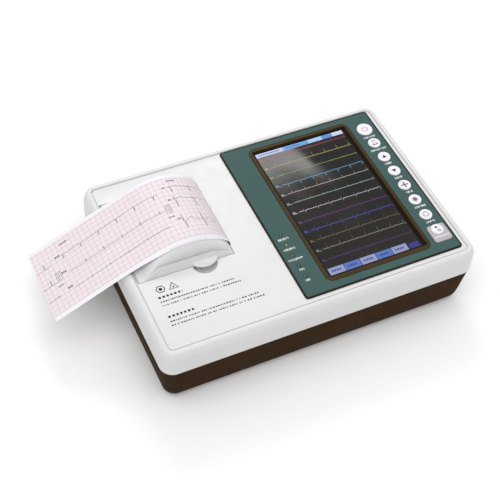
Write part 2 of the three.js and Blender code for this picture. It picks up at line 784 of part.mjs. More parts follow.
function powerBoard() {
  return join(
    block(-14, 92, 44, 92, 10, 11.6),
    block(20, 46, 54, 80, 11.4, 32),
    block(-8, 12, 60, 76, 11.4, 24),
    discZ(60, 62, 8, 11.4, 34, 24),
    block(74, 88, 52, 56, 11.4, 28),
    discZ(-10, 48, 3, FLOOR_TOP + GAP, 10.2, 12),
    discZ(88, 48, 3, FLOOR_TOP + GAP, 10.2, 12),
  );
}

// ---------- connectors ----------
function mainsInlet() {
  const blade = (x, z) => block(x - 1.2, x + 1.2, 85, 99, z - 2, z + 2);
  return join(
    cut(
      join(
        block(INLET_X - 13.3, INLET_X + 13.3, 84, 101.5, 13.5, 32.7),
        block(INLET_X - 15.8, INLET_X + 15.8, 101.2, 103.2, 11, 35.2),
      ),
      block(INLET_X - 11.7, INLET_X + 11.7, 86, 110, 15.4, 30.8),
    ),
    blade(INLET_X, 26.5),
    blade(INLET_X - 6, 20.2),
    blade(INLET_X + 6, 20.2),
  );
}

function rockerFrame() {
  return cut(
    join(
      block(ROCKER.x - 10.4, ROCKER.x + 10.4, 90, 101.5, 16.7, 29.3),
      block(ROCKER.x - 12.4, ROCKER.x + 12.4, 101.2, 103, 14.8, 31.2),
    ),
    block(ROCKER.x - 8.4, ROCKER.x + 8.4, 92, 110, 18.4, 27.6),
  );
}

function powerRocker() {
  const points = [[-7, 0.9], [-3.5, -2.2], [3.5, -2.2], [7, 3.1], [7, 4.4], [0, 2.5], [-7, 2.7]];
  const shape = new THREE.Shape(points.map(([x, y]) => new THREE.Vector2(ROCKER.x + x, ROCKER.y + y)));
  const geometry = new THREE.ExtrudeGeometry(shape, { depth: 8.4, bevelEnabled: false });
  geometry.translate(0, 0, 18.8);
  return solid(geometry);
}

function fuseHolder() {
  return cut(
    join(
      rodY(FUSE_X, SOCKET_Z, 6, 86, 101.5, 20),
      rodY(FUSE_X, SOCKET_Z, 6.9, 101.2, 103.4, 20),
    ),
    block(FUSE_X - 4, FUSE_X + 4, 102.6, 110, SOCKET_Z - 0.6, SOCKET_Z + 0.6),
  );
}

function groundPost() {
  return join(
    rodY(POST_X, SOCKET_Z, 2.3, 94, 109, 20),
    rodY(POST_X, SOCKET_Z, 5, 101.3, 103, 6),
    rodY(POST_X, SOCKET_Z, 3.4, 104.6, 107.4, 20),
  );
}

function patientConnector() {
  return cut(
    join(
      block(146, 152.4, PATIENT_Y - 11.9, PATIENT_Y + 11.9, SOCKET_Z - 4.8, SOCKET_Z + 4.8),
      plate(152.3, 153.5, PATIENT_Y - 19.6, PATIENT_Y + 19.6, 0.55, SOCKET_Z - 6.2, SOCKET_Z + 6.2),
      plate(153.2, 158.2, PATIENT_Y - 12.6, PATIENT_Y + 12.6, 0.55, SOCKET_Z - 4.1, SOCKET_Z + 4.1),
    ),
    rodX(PATIENT_Y - 16.6, SOCKET_Z, 1.55, 140, 170),
    rodX(PATIENT_Y + 16.6, SOCKET_Z, 1.55, 140, 170),
  );
}

function usbPort() {
  return cut(
    join(
      block(136, 152.5, USB_Y - 7.3, USB_Y + 7.3, SOCKET_Z - 4.1, SOCKET_Z + 4.1),
      block(152.3, 153.6, USB_Y - 8.2, USB_Y + 8.2, SOCKET_Z - 5.1, SOCKET_Z + 5.1),
    ),
    block(139, 160, USB_Y - 6.3, USB_Y + 6.3, SOCKET_Z - 3, SOCKET_Z + 3),
  );
}

// ---------- assembly ----------
const assembly = new THREE.Group();

function place(name, manifold, look) {
  const mesh = new THREE.Mesh(geometryOf(manifold), look);
  mesh.name = name;
  assembly.add(mesh);
}

place('top_cover', topCover(), WHITE_PLASTIC);
place('bottom_case', bottomCase(), BROWN_PLASTIC);
place('battery_door', batteryDoor(), BROWN_PLASTIC);
place('battery_pack', batteryPack(), CELL);
place('fascia_plate', fasciaPlate(), RIM_PLASTIC);
place('front_overlay', frontOverlay(), OVERLAY_FILM);
place('screen_bezel', screenBezel(), BEZEL_PLASTIC);
place('screen_window', screenWindow(), SCREEN_GLASS);
place('lcd_module', lcdModule(), ALUMINIUM);
place('keypad_board', keypadBoard(), BOARD);
place('led_board', ledBoard(), BOARD);
place('main_board', mainBoard(), BOARD);
place('power_board', powerBoard(), BOARD);
for (const key of KEYS) {
  place(key.name, roundKey(key), KEY_WHITE);
}
place('key_print', printKey(), KEY_GREY);
LED_NAMES.forEach((name, index) => place(name, ledLens(index), LED_GREEN));

place('printer_frame', printerFrame(), BLACK_PLASTIC);
place('printer_door', printerDoor(), WHITE_PLASTIC);
place('door_hinge_pin', hingePin(), STEEL);
place('platen_shaft', platenShaft(), STEEL);
place('platen_rubber', platenRubber(), RUBBER);
place('platen_gear', platenGear(), NYLON);
place('idler_gear', idlerGear(), NYLON);
place('idler_pin', idlerPin(), STEEL);
place('motor_pinion', motorPinion(), BRASS);
place('stepper_motor', stepperMotor(), STEEL);
place('print_head', printHead(), CERAMIC);
place('head_sink', headSink(), ALUMINIUM);
place('paper_roll', paperRoll(), PAPER);
place('paper_core', paperCore(), CARDBOARD);
place('roll_axle', rollAxle(), BLACK_PLASTIC);
place('paper_strip', paperStrip(), PAPER);

place('patient_connector', patientConnector(), STEEL);
place('usb_port', usbPort(), STEEL);
place('mains_inlet', mainsInlet(), BLACK_PLASTIC);
place('rocker_frame', rockerFrame(), BLACK_PLASTIC);
place('power_rocker', powerRocker(), BLACK_PLASTIC);
place('fuse_holder', fuseHolder(), BLACK_PLASTIC);
place('ground_post', groundPost(), BRASS);

let number = 1;
for (const sx of [-1, 1]) {
  for (const sy of [-1, 1]) {
    place(`foot_${number}`, rubberFoot(sx * FOOT_X, sy * FOOT_Y), RUBBER);
    place(`case_screw_${number}`, caseScrew(sx * SCREW_X, sy * SCREW_Y), STEEL);
    number += 1;
  }
}

export default assembly;
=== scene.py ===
"""Desktop electrocardiograph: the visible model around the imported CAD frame.

Sizes are in millimetres in the CAD frame (X right, Y back, Z up), and become metres when a mesh is made.
"""
import math
import random

import bmesh
import bpy
import numpy as np
from mathutils import Matrix, Vector


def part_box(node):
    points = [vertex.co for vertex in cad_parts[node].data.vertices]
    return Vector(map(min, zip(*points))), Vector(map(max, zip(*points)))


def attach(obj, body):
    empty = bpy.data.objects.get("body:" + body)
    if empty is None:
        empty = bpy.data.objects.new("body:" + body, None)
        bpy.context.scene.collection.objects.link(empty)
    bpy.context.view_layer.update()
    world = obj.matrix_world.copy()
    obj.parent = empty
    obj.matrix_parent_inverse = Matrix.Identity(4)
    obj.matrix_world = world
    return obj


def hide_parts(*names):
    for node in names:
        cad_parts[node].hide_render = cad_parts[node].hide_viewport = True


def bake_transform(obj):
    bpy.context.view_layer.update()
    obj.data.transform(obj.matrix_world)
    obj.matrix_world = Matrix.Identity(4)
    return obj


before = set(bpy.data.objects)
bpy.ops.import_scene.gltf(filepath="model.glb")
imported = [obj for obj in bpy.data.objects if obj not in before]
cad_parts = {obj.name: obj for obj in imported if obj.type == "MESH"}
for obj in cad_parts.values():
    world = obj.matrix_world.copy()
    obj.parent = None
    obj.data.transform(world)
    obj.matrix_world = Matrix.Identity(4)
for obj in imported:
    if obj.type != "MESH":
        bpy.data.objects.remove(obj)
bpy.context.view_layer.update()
MM = 0.001


# ---------- places taken from the frame ----------
def limits(node):
    """The node's x0, x1, y0, y1, z0, z1 in millimetres."""
    low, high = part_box(node)
    return [value / MM for value in (low.x, high.x, low.y, high.y, low.z, high.z)]


def middle(box):
    """The x, y and z of a box's centre."""
    return [(box[i] + box[i + 1]) / 2 for i in (0, 2, 4)]


COVER = limits("top_cover")
PLATE = limits("fascia_plate")
BEZEL = limits("screen_bezel")
GLASS = limits("screen_window")
MODULE = limits("lcd_module")
DOOR = limits("printer_door")
RUBBER = limits("platen_rubber")
ROLL = limits("paper_roll")

FOOTPRINT = (-COVER[1], COVER[1], -COVER[3], COVER[3])
CORNER = 12.5
PANEL = COVER[5] - 1
PANEL_UNDER = PANEL - 2.5
SPLIT = limits("bottom_case")[5] + 0.15
PAPER_Y0, PAPER_Y1 = limits("paper_strip")[2:4]

# axes along Y, as x and z
PLATEN = middle(RUBBER)[::2]
PLATEN_R = (RUBBER[1] - RUBBER[0]) / 2
SPOOL = middle(ROLL)[::2]
SPOOL_R = (ROLL[5] - ROLL[4]) / 2
HINGE = middle(limits("door_hinge_pin"))[::2]

# heights between which the panel is cut through
CUT = (60, 80)
FILM_FOOT = 72.05
FILM_TOP = 72.5
FOUR_CORNERS = [(sx, sy) for sx in (-1, 1) for sy in (-1, 1)]


# ---------- meshes ----------
def srgb(red, green, blue):
    """A colour given as 0 to 255 values, as linear RGBA."""
    def linear(value):
        value /= 255
        return value / 12.92 if value <= 0.04045 else ((value + 0.055) / 1.055) ** 2.4
    return (linear(red), linear(green), linear(blue), 1)


def add(name, data):
    obj = bpy.data.objects.new(name, data)
    bpy.context.scene.collection.objects.link(obj)
    return obj


def make(name, points, faces):
    mesh = bpy.data.meshes.new(name)
    mesh.from_pydata([(x * MM, y * MM, z * MM) for x, y, z in points], [], faces)
    mesh.validate()
    return add(name, mesh)


def tidy(obj, angle):
    """Smooth shading, with edges sharper than angle kept crisp."""
    mesh = obj.data
    cleaned = bmesh.new()
    cleaned.from_mesh(mesh)
    bmesh.ops.remove_doubles(cleaned, verts=cleaned.verts, dist=1e-6)
    bmesh.ops.recalc_face_normals(cleaned, faces=cleaned.faces)
    limit = math.radians(angle)
    for face in cleaned.faces:
        face.smooth = True
    for edge in cleaned.edges:
        edge.smooth = len(edge.link_faces) == 2 and edge.calc_face_angle(0) < limit
    cleaned.to_mesh(mesh)
    cleaned.free()


def carve(obj, cutters, operation="DIFFERENCE"):
    """Cuts or joins other objects, applies the result and removes them."""
    for cutter in cutters:
        modifier = obj.modifiers.new("carve", "BOOLEAN")
        modifier.operation = operation
        modifier.solver = "EXACT"
        modifier.object = cutter
    graph = bpy.context.evaluated_depsgraph_get()
    result = bpy.data.meshes.new_from_object(obj.evaluated_get(graph))
    obj.modifiers.clear()
    obj.data = result
    for cutter in cutters:
        bpy.data.objects.remove(cutter)
    return obj


def finish(obj, material, body, replaces=(), angle=32):
    """Shading and material for one finished piece; hides the CAD nodes it replaces and attaches it to its
    body.
    """
    tidy(obj, angle)
    obj.data.materials.clear()
    obj.data.materials.append(material)
    if replaces:
        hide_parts(*replaces)
    if body:
        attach(obj, body)


def circle(u, v, radius, segments):
    """Points round a circle, anticlockwise."""
    angles = [i * 2 * math.pi / segments for i in range(segments)]
    return [(u + radius * math.cos(angle), v + radius * math.sin(angle)) for angle in angles]


def outline(x0, x1, y0, y1, r, steps=14):
    """A rounded rectangle, anticlockwise from above."""
    centres = [(x1 - r, y1 - r), (x0 + r, y1 - r), (x0 + r, y0 + r), (x1 - r, y0 + r)]
    points = []
    for quarter, (cx, cy) in enumerate(centres):
        for i in range(steps + 1):
            angle = (quarter + i / steps) * math.pi / 2
            points.append((cx + r * math.cos(angle), cy + r * math.sin(angle)))
    return points


def ring(box, inset, r, steps=14):
    """A rounded rectangle inset within a box's x and y limits, or outside them where inset is negative."""
    x0, x1, y0, y1 = box[:4]
    return outline(x0 + inset, x1 - inset, y0 + inset, y1 - inset, r, steps)


def loft(name, rings):
    """A closed body through rings of equal length, from the bottom up: each is (outline points, z)."""
    count = len(rings[0][0])
    points = [(x, y, z) for level, z in rings for x, y in level]
    faces = [tuple(reversed(range(count)))]
    for level in range(len(rings) - 1):
        base = level * count
        for i in range(count):
            j = (i + 1) % count
            faces.append((base + i, base + j, base + j + count, base + i + count))
    top = (len(rings) - 1) * count
    faces.append(tuple(top + i for i in range(count)))
    return make(name, points, faces)


def slab(name, x0, x1, y0, y1, z0, z1, r=0.001, steps=8):
    level = outline(x0, x1, y0, y1, r, steps)
    return loft(name, [(level, z0), (level, z1)])


def opening(box, margin, r, steps=8):
    """A cutter through the panel, wider than a box by margin on each side."""
    level = ring(box, -margin, r, steps)
    return loft("opening", [(level, CUT[0]), (level, CUT[1])])


def soft_slab(name, box, z0, z1, r, edge):
    """A rounded plate whose top edge is rounded too."""
    steps = 4
    rings = [(ring(box, 0, r, 12), z0)]
    for i in range(steps + 1):
        angle = i / steps * math.pi / 2
        inset = edge * (1 - math.cos(angle))
        rings.append((ring(box, inset, r - inset, 12), z1 - edge + edge * math.sin(angle)))
    return loft(name, rings)


def turned(name, x, y, profile, segments=48):
    """A round body about a vertical line, from (radius, z) pairs going up."""
    return loft(name, [(circle(x, y, radius, segments), z) for radius, z in profile])


def rod_y(name, axis, r, y0, y1, segments=64):
    """A cylinder along Y about an axis given as x and z."""
    points = [(x, y, z) for y in (y0, y1) for x, z in circle(*axis, r, segments)]
    faces = [tuple(range(segments)), tuple(reversed(range(segments, 2 * segments)))]
    for i in range(segments):
        j = (i + 1) % segments
        faces.append((i, i + segments, j + segments, j))
    return make(name, points, faces)


def ellipsoid(centre, radii, segments, rings):
    bpy.ops.mesh.primitive_uv_sphere_add(segments=segments, ring_count=rings, radius=1)
    obj = bpy.context.object
    obj.scale = [value * MM for value in radii]
    obj.location = [value * MM for value in centre]
    bpy.context.view_layer.update()
    return obj


def two_layers(rows, across):
    """The faces of a closed sheet: an upper layer of rows by across points, then a lower one."""
    layer = rows * across
    faces = []
    for i in range(rows - 1):
        for j in range(across - 1):
            a = i * across + j
            b = a + across
            faces.append((a, b, b + 1, a + 1))
            faces.append((layer + a, layer + a + 1, layer + b + 1, layer + b))
    last = across - 1
    border = list(range(last))
    border += [i * across + last for i in range(rows - 1)]
    border += [(rows - 1) * across + j for j in range(last, 0, -1)]
    border += [i * across for i in range(rows - 1, 0, -1)]
    for a, b in zip(border, border[1:] + border[:1]):
        faces.append((a, b, layer + b, layer + a))
    return faces


def spline(points, per_span):
    """A centripetal Catmull-Rom curve through the points."""
    def between(t, p, q, tp, tq):
        return (tq - t) / (tq - tp) * p + (t - tp) / (tq - tp) * q

    points = [np.array(p, float) for p in points]
    padded = [2 * points[0] - points[1], *points, 2 * points[-1] - points[-2]]
    curve = []
    for i in range(len(padded) - 3):
        p = padded[i:i + 4]
        knots = [0]
        for j in range(3):
            knots.append(knots[j] + np.linalg.norm(p[j + 1] - p[j]) ** 0.5)
        for k in range(per_span):
            t = knots[1] + (knots[2] - knots[1]) * k / per_span
            a = [between(t, p[j], p[j + 1], knots[j], knots[j + 1]) for j in range(3)]
            b = [between(t, a[j], a[j + 1], knots[j], knots[j + 2]) for j in range(2)]
            curve.append(between(t, *b, knots[1], knots[2]))
    curve.append(points[-1])
    return np.array(curve)


# ---------- materials ----------
RAMP_ENDS = (0.35, 0.65)


class Nodes:
    """A material's node tree, with short calls for the nodes used here."""

    def __init__(self, name):
        self.material = bpy.data.materials.new(name)
        self.material.use_nodes = True
        self.tree = self.material.node_tree
        self.shader = self.tree.nodes["Principled BSDF"]
        self.place = self.node("TexCoord").outputs["Object"]

    def feed(self, socket, value):
        """Sets a socket to a constant, or links it to another node's output."""
        if isinstance(value, (int, float, tuple)):
            socket.default_value = value
        else:
            self.tree.links.new(value, socket)

    def node(self, kind, **values):
        node = self.tree.nodes.new(f"ShaderNode{kind}")
        for key, value in values.items():
            self.feed(node.inputs[key], value)
        return node

    def set(self, **values):
        """Feeds the shader's own inputs and returns the material."""
        for key, value in values.items():
            self.feed(self.shader.inputs[key.replace("_", " ")], value)
        return self.material

    def noise(self, scale, detail=2, rough=0.5):
        node = self.node("TexNoise", Vector=self.place, Scale=scale, Detail=detail, Roughness=rough)
        return node.outputs["Fac"]

    def ramp(self, source, low, high):
        """Maps a noise value to colours or greys between low and high."""
        node = self.node("ValToRGB", Fac=source)
        for element, position, value in zip(node.color_ramp.elements, RAMP_ENDS, (low, high)):
            element.position = position
            element.color = value if isinstance(value, tuple) else (value, value, value, 1)
        return node.outputs["Color"]

    def shades(self, source, colour, *factors):
        """Shades of one colour between two factors."""
        return self.ramp(source, *((*(value * factor for value in colour[:3]), 1) for factor in factors))

    def mix(self, share, one, other):
        """A mix of two colours; the node's colour sockets follow those for numbers and vectors."""
        node = self.node("Mix")
        node.data_type = "RGBA"
        for index, value in ((0, share), (6, one), (7, other)):
            self.feed(node.inputs[index], value)
        return node.outputs[2]

    def math(self, operation, *values):
        node = self.node("Math")
        node.operation = operation
        for socket, value in zip(node.inputs, values):
            self.feed(socket, value)
        return node.outputs[0]

    def bump(self, height, strength, distance):
        return self.node("Bump", Strength=strength, Distance=distance, Height=height).outputs["Normal"]


def plastic(name, colour, rough=0.5, grain=2600, bump=0.12, spread=0.05, gloss=0.4):
    """Moulded plastic: fine spark texture, a faint cloudiness and uneven gloss."""
    n = Nodes(name)
    return n.set(
        Base_Color=n.shades(n.noise(18, 3), colour, 1 - spread, 1 + spread),
        Roughness=n.ramp(n.noise(90, 4), rough - 0.05, rough + 0.07),
        Normal=n.bump(n.noise(grain), bump, 0.00003),
        Specular_IOR_Level=gloss,
    )


def metal(name, colour, rough, stretch):
    """Brushed or turned metal, with its scratches drawn out along one direction."""
    n = Nodes(name)
    n.place = n.node("Mapping", Vector=n.place, Scale=stretch).outputs["Vector"]
    scratch = n.noise(900, 4, 0.6)
    return n.set(
        Base_Color=n.shades(scratch, colour, 0.85, 1.08),
        Roughness=n.ramp(scratch, rough - 0.08, rough + 0.12),
        Normal=n.bump(scratch, 0.08, 0.00002),
        Metallic=1.0,
    )


def ink(name, colour, rough=0.55):
    """Printed ink, slightly uneven."""
    n = Nodes(name)
    base = n.shades(n.noise(700), colour, 0.85, 1.1)
    return n.set(Base_Color=base, Roughness=rough, Specular_IOR_Level=0.2)


def lit(name, colour, strength=0.75):
    """A lit area of the display: mostly its own light, behind a fine pixel grain."""
    n = Nodes(name)
    base = n.shades(n.noise(4000, 1), colour, 0.12, 0.2)
    return n.set(Base_Color=base, Roughness=0.2, Emission_Color=colour, Emission_Strength=strength)


def board_green():
    """Solder mask with lighter lines on it."""
    n = Nodes("solder_mask")
    greens = dict(Color1=srgb(24, 92, 52), Color2=srgb(20, 78, 46), Mortar=srgb(34, 112, 66))
    cells = n.node("TexBrick", Vector=n.place, Scale=260, **greens)
    return n.set(
        Base_Color=cells.outputs["Color"],
        Roughness=n.ramp(n.noise(120), 0.3, 0.5),
        Normal=n.bump(cells.outputs["Fac"], 0.1, 0.00003),
    )


def rubber():
    n = Nodes("rubber")
    return n.set(
        Base_Color=n.ramp(n.noise(60, 3), srgb(22, 22, 24), srgb(38, 38, 40)),
        Roughness=n.ramp(n.noise(200), 0.7, 0.9),
        Normal=n.bump(n.noise(1800), 0.3, 0.00004),
    )


def cardboard():
    """Coarse, matt board."""
    n = Nodes("cardboard")
    base = n.ramp(n.noise(400, 4), srgb(150, 116, 78), srgb(190, 156, 112))
    return n.set(Base_Color=base, Roughness=0.9, Normal=n.bump(n.noise(900, 4), 0.4, 0.00006))


WHITE = plastic("white_abs", srgb(218, 218, 218), rough=0.36, spread=0.012, gloss=0.5)
BROWN = plastic("brown_abs", srgb(54, 36, 17), rough=0.7, bump=0.25, spread=0.08, gloss=0.06)
RIM_BROWN = plastic("rim_brown", srgb(30, 24, 10), spread=0.06, gloss=0.2)
BEZEL_BROWN = plastic("bezel_brown", srgb(62, 46, 16), bump=0.08, spread=0.1, gloss=0.2)
# black for the display's border, and for the ring at the glass edge that paints the shade on the bezel's
# inner wall
BORDER_AND_SHADE_BLACK = plastic("border_and_shade_black", srgb(16, 13, 9), spread=0.06, gloss=0.15)
FILM = plastic("overlay_film", srgb(64, 90, 87), rough=0.55, grain=4200, bump=0.06, spread=0.02, gloss=0.15)
KEY_WHITE = plastic("key_white", srgb(233, 229, 236), spread=0.012)
KEY_GREY = plastic("key_grey", srgb(178, 174, 177), spread=0.02)
FRAME_GREY = plastic("frame_grey", srgb(186, 186, 182), spread=0.03)
BLACK = plastic("black_abs", srgb(28, 28, 29), bump=0.2, spread=0.1)
NYLON = plastic("nylon", srgb(226, 222, 206), spread=0.03)
CELL_WRAP = plastic("cell_wrap", srgb(40, 74, 138), rough=0.35, spread=0.04)
CERAMIC = plastic("ceramic", srgb(96, 78, 64), rough=0.22)
STEEL = metal("zinc_steel", srgb(190, 193, 198), 0.3, (1, 0.05, 1))
ALUMINIUM = metal("aluminium", srgb(205, 208, 211), 0.38, (0.05, 1, 1))
BRASS = metal("brass", srgb(206, 172, 96), 0.28, (1, 0.05, 1))
RUBBER_BLACK = rubber()
CARDBOARD = cardboard()
BOARD = board_green()
PRINT_BLACK = ink("print_black", srgb(40, 38, 40))
PRINT_WHITE = ink("print_white", srgb(226, 232, 230))
PRINT_RED = ink("print_red", srgb(222, 92, 110))
PRINT_GREY = ink("print_grey", srgb(96, 94, 100))


# ---------- camera, light and floor ----------
CAMERA_TARGET = (-39.45, -22.93, 71)
CAMERA_AZIMUTH = -29.436
CAMERA_ELEVATION = 50.777
CAMERA_ROLL = 5.739
CAMERA_DISTANCE = 1021.2
CAMERA_LENS = 81.54
CAMERA_SENSOR = 36
SUN_DIRECTION = (0.22, 0.3, -1)
SUN_STRENGTH = 1.12
SUN_SPREAD = 60
GLARE_PLACE = (0.38, 1.5, 1.5)
GLARE_SIZE = (0.7, 0.76)
GLARE_POWER = 11
# a hair off vertical, so that the panel's turn is settled
NEARLY_DOWN = (0, 0.0001, -1.5)
SKY_LOW = 0.25
SKY_HIGH = 0.95
FLOOR_REACH = 40000
FLOOR_Z = -2.05


def camera():
    azimuth, elevation, roll = (math.radians(a) for a in (CAMERA_AZIMUTH, CAMERA_ELEVATION, CAMERA_ROLL))
    turn = Matrix.Rotation(azimuth, 4, "Z") @ Matrix.Rotation(math.pi / 2 - elevation, 4, "X")
    turn @= Matrix.Rotation(roll, 4, "Z")
    data = bpy.data.cameras.new("camera")
    data.lens = CAMERA_LENS
    data.sensor_width = CAMERA_SENSOR
    data.clip_start = 0.05
    obj = add("camera", data)
    place = (Vector(CAMERA_TARGET) + turn.col[2].xyz * CAMERA_DISTANCE) * MM
    obj.matrix_world = Matrix.Translation(place) @ turn
    bpy.context.scene.camera = obj


def light(name, kind, power, direction):
    obj = add(name, bpy.data.lights.new(name, kind))
    obj.data.energy = power
    obj.rotation_euler = Vector(direction).to_track_quat("-Z", "Y").to_euler()
    return obj


def sky():
    """A pale world, darker below than above."""
    world = bpy.data.worlds.new("studio")
    world.use_nodes = True
    tree = world.node_tree
    direction = tree.nodes.new("ShaderNodeTexCoord").outputs["Generated"]
    split = tree.nodes.new("ShaderNodeSeparateXYZ")
    ramp = tree.nodes.new("ShaderNodeValToRGB")
    for element, grey in zip(ramp.color_ramp.elements, (SKY_LOW, SKY_HIGH)):
        element.color = (grey, grey, grey, 1)
    tree.links.new(direction, split.inputs["Vector"])
    tree.links.new(split.outputs["Z"], ramp.inputs["Fac"])
    tree.links.new(ramp.outputs["Color"], tree.nodes["Background"].inputs["Color"])
    bpy.context.scene.world = world


def studio():
    """The sky, a very soft sun, a panel whose glare lies on the display, and the floor."""
    bpy.context.scene.view_settings.view_transform = "Standard"
    sky()
    light("overhead", "SUN", SUN_STRENGTH, SUN_DIRECTION).data.angle = math.radians(SUN_SPREAD)
    panel = light("back_panel", "AREA", GLARE_POWER, NEARLY_DOWN)
    panel.location = GLARE_PLACE
    panel.data.shape = "RECTANGLE"
    panel.data.size, panel.data.size_y = GLARE_SIZE
    n = Nodes("floor")
    pale = n.ramp(n.noise(2), srgb(246, 246, 246), srgb(248, 248, 248))
    n.set(Base_Color=pale, Roughness=0.8, Specular_IOR_Level=0.1)
    corners = [(x * FLOOR_REACH, y * FLOOR_REACH, FLOOR_Z) for x, y in ((-1, -1), (1, -1), (1, 1), (-1, 1))]
    floor = make("floor", corners, [(0, 1, 2, 3)])
    floor.data.materials.append(n.material)


# ---------- case ----------
SCREW_X, SCREW_Y = 134, 88
FOOT_X, FOOT_Y = 118, 72
FOOT_PROFILE = [(4.6, -1.5), (5.0, -1.9), (5.5, -2), (6.3, -2), (6.8, -1.85), (7, -1.4), (7, 1.1)]

# the rounded shoulder starts at this inset and height
SHOULDER_FOOT = (0.35, 62)
SHOULDER_REACH = 5.6
SHOULDER_RISE = 10
GROOVE_INSET = 7.6
GROOVE_DEPTH = 1.3

# insets and heights up the walls
COVER_INSIDE = [(2.5, SPLIT - 1), (2.5, 61.5), (3.4, 65), (5.5, 67.4), (8, PANEL_UNDER)]
BASE_OUTSIDE = [
    (13, 0), (11.2, 0.15), (9.6, 0.6), (8.2, 1.5), (7.0, 2.7), (6.0, 4.2), (5.2, 5.9), (4.6, 7.8),
    (4.1, 10), (3.6, 14), (0.4, SPLIT - 0.6), (0.6, SPLIT - 0.15),
]
BASE_INSIDE = [(14, 3), (9.6, 5), (7.4, 9), (6.2, 14), (2.9, SPLIT + 1)]
BASE_CORNER_SHARE = 0.35

# the well under the door's finger lip
SCOOP_CENTRE = (-83.4, -21.5, 72)
SCOOP_RADII = (11.8, 11.4, 8.2)
BOSS = (-99, -68.5, -36, -20, 61.5, PANEL_UNDER + 0.5)

DOOR_CUT = (55, 80)
DOOR_HOLE_Y = (-21.3, 77.3)
KEY_WINDOW = (121.6, 141.4, -83, 83)
BATTERY_RECESS = (-25.3, 65.3, -91.3, -40.7)

# recesses for the connectors, each with a pad behind it
BACK_RECESS = (50, 137, 101, 120, 7, 40)
BACK_PAD = (50, 137, 96.5, 100.9, 6, 41)
RIGHT_RECESS = (152, 170, -22, 66, 9, 37)
RIGHT_PAD = (147.5, 151.9, -22, 66, 8, 38)
BACK_CUT = (90, 120)
RIGHT_CUT = (140, 170)
CONNECTOR_Z = 23


def shoulder_profile():
    """Inset and height from the seam over the rounded shoulder and down into the groove round the panel."""
    inset, foot = SHOULDER_FOOT
    groove = PANEL - GROOVE_DEPTH
    rings = [(0.25, SPLIT + 0.15), (0, SPLIT + 0.4), (0.15, 58), SHOULDER_FOOT]
    for i in range(1, 13):
        angle = i / 12 * math.pi / 2
        out = SHOULDER_REACH * (1 - math.cos(angle))
        rings.append((inset + out, foot + SHOULDER_RISE * math.sin(angle)))
    rings += [(6.4, 71.97), (6.9, 71.85), (7.3, 71.6), (7.5, 71.25), (GROOVE_INSET, groove)]
    rings += [(GROOVE_INSET + 1.0, groove), (GROOVE_INSET + 1.15, PANEL - 0.3)]
    rings += [(GROOVE_INSET + 1.25, PANEL - 0.1), (GROOVE_INSET + 1.5, PANEL)]
    return rings


def case_loft(name, profile, corner):
    """A body through rings of the case's footprint; corner gives the corner radius at an inset."""
    return loft(name, [(ring(FOOTPRINT, inset, corner(inset), 16), z) for inset, z in profile])


def top_cover():
    shell = case_loft("cover_shell", shoulder_profile(), lambda inset: max(CORNER - inset, 3.6))
    carve(shell, [case_loft("cavity", COVER_INSIDE, lambda inset: CORNER - inset)])
    carve(shell, [slab("boss", *BOSS, 4)], "UNION")
    leds = [limits(f"led_{name}") for name in LED_NAMES]
    led_x = middle(leds[0])[0]
    carve(shell, [
        slab("hole", DOOR[0] - 2.3, DOOR[1] + 0.7, *DOOR_HOLE_Y, *DOOR_CUT, 0.6),
        slab("hole", DOOR[1] - 5, DOOR[1] + 2, PAPER_Y0 - 0.3, PAPER_Y1 + 0.3, *DOOR_CUT, 0.6),
        ellipsoid(SCOOP_CENTRE, SCOOP_RADII, 64, 40),
        opening(MODULE, 0.8, 0.5),
        opening(KEY_WINDOW, 0, 0.5),
        slab("hole", led_x - 3.3, led_x + 3.3, leds[-1][2] - 2, leds[0][3] + 2, *CUT, 0.5),
    ])
    finish(shell, WHITE, "case", ["top_cover"])


def base_corner(inset):
    return CORNER - BASE_CORNER_SHARE * inset


def bottom_case():
    shell = case_loft("base_shell", BASE_OUTSIDE, base_corner)
    carve(shell, [case_loft("cavity", BASE_INSIDE, base_corner)])
    carve(shell, [slab("pad", *BACK_PAD), slab("pad", *RIGHT_PAD)], "UNION")
    inlet = limits("mains_inlet")
    rocker = limits("rocker_frame")
    fuse_x = middle(limits("fuse_holder"))[0]
    post_x = middle(limits("ground_post"))[0]
    cutters = [
        slab("recess", *BACK_RECESS),
        slab("recess", *RIGHT_RECESS),
        slab("inlet_hole", inlet[0] + 2.2, inlet[1] - 2.2, *BACK_CUT, 13.2, 33),
        slab("rocker_hole", rocker[0] + 1.7, rocker[1] - 1.7, *BACK_CUT, 16.4, 29.6),
        rod_y("fuse_hole", (fuse_x, CONNECTOR_Z), 6.3, *BACK_CUT),
        rod_y("post_hole", (post_x, CONNECTOR_Z), 2.6, *BACK_CUT),
        slab("patient_hole", *RIGHT_CUT, 22, 50, 17.4, 28.6),
        slab("usb_hole", *RIGHT_CUT, -3.6, 11.6, 18.6, 27.4),
        slab("battery_recess", *BATTERY_RECESS, -1, 2, 3.3),
    ]
    for sx, sy in FOUR_CORNERS:
        cutters.append(turned("screw_hole", sx * SCREW_X, sy * SCREW_Y, [(3.8, -1), (3.8, 6)]))
        cutters.append(turned("foot_hole", sx * FOOT_X, sy * FOOT_Y, [(7.4, -1), (7.4, 1.4)]))
    carve(shell, cutters)
    finish(shell, BROWN, "case", ["bottom_case"])


def battery_door():
    """The battery cover, with a finger dip, grip ribs and two round dips in its face."""
    box = limits("battery_door")
    z0, z1 = box[4:]
    level = ring(box, 0, 3)
    cover = loft("battery_cover", [(ring(box, 0.4, 2.6), z0), (level, z0 + 0.4), (level, z1)])
    cutters = [turned("dip", 20, -84, [(6.5, z0 - 1), (5.6, z0 + 0.8)])]
    cutters += [slab("rib", 8, 32, y, y + 1, z0 - 1, z0 + 0.5) for y in range(-76, -63, 3)]
    cutters += [turned("dip", x, -45, [(3, z0 - 1), (2.2, z0 + 0.8)]) for x in (-16, 56)]
    carve(cover, cutters)
    finish(cover, BROWN, "case", ["battery_door"])


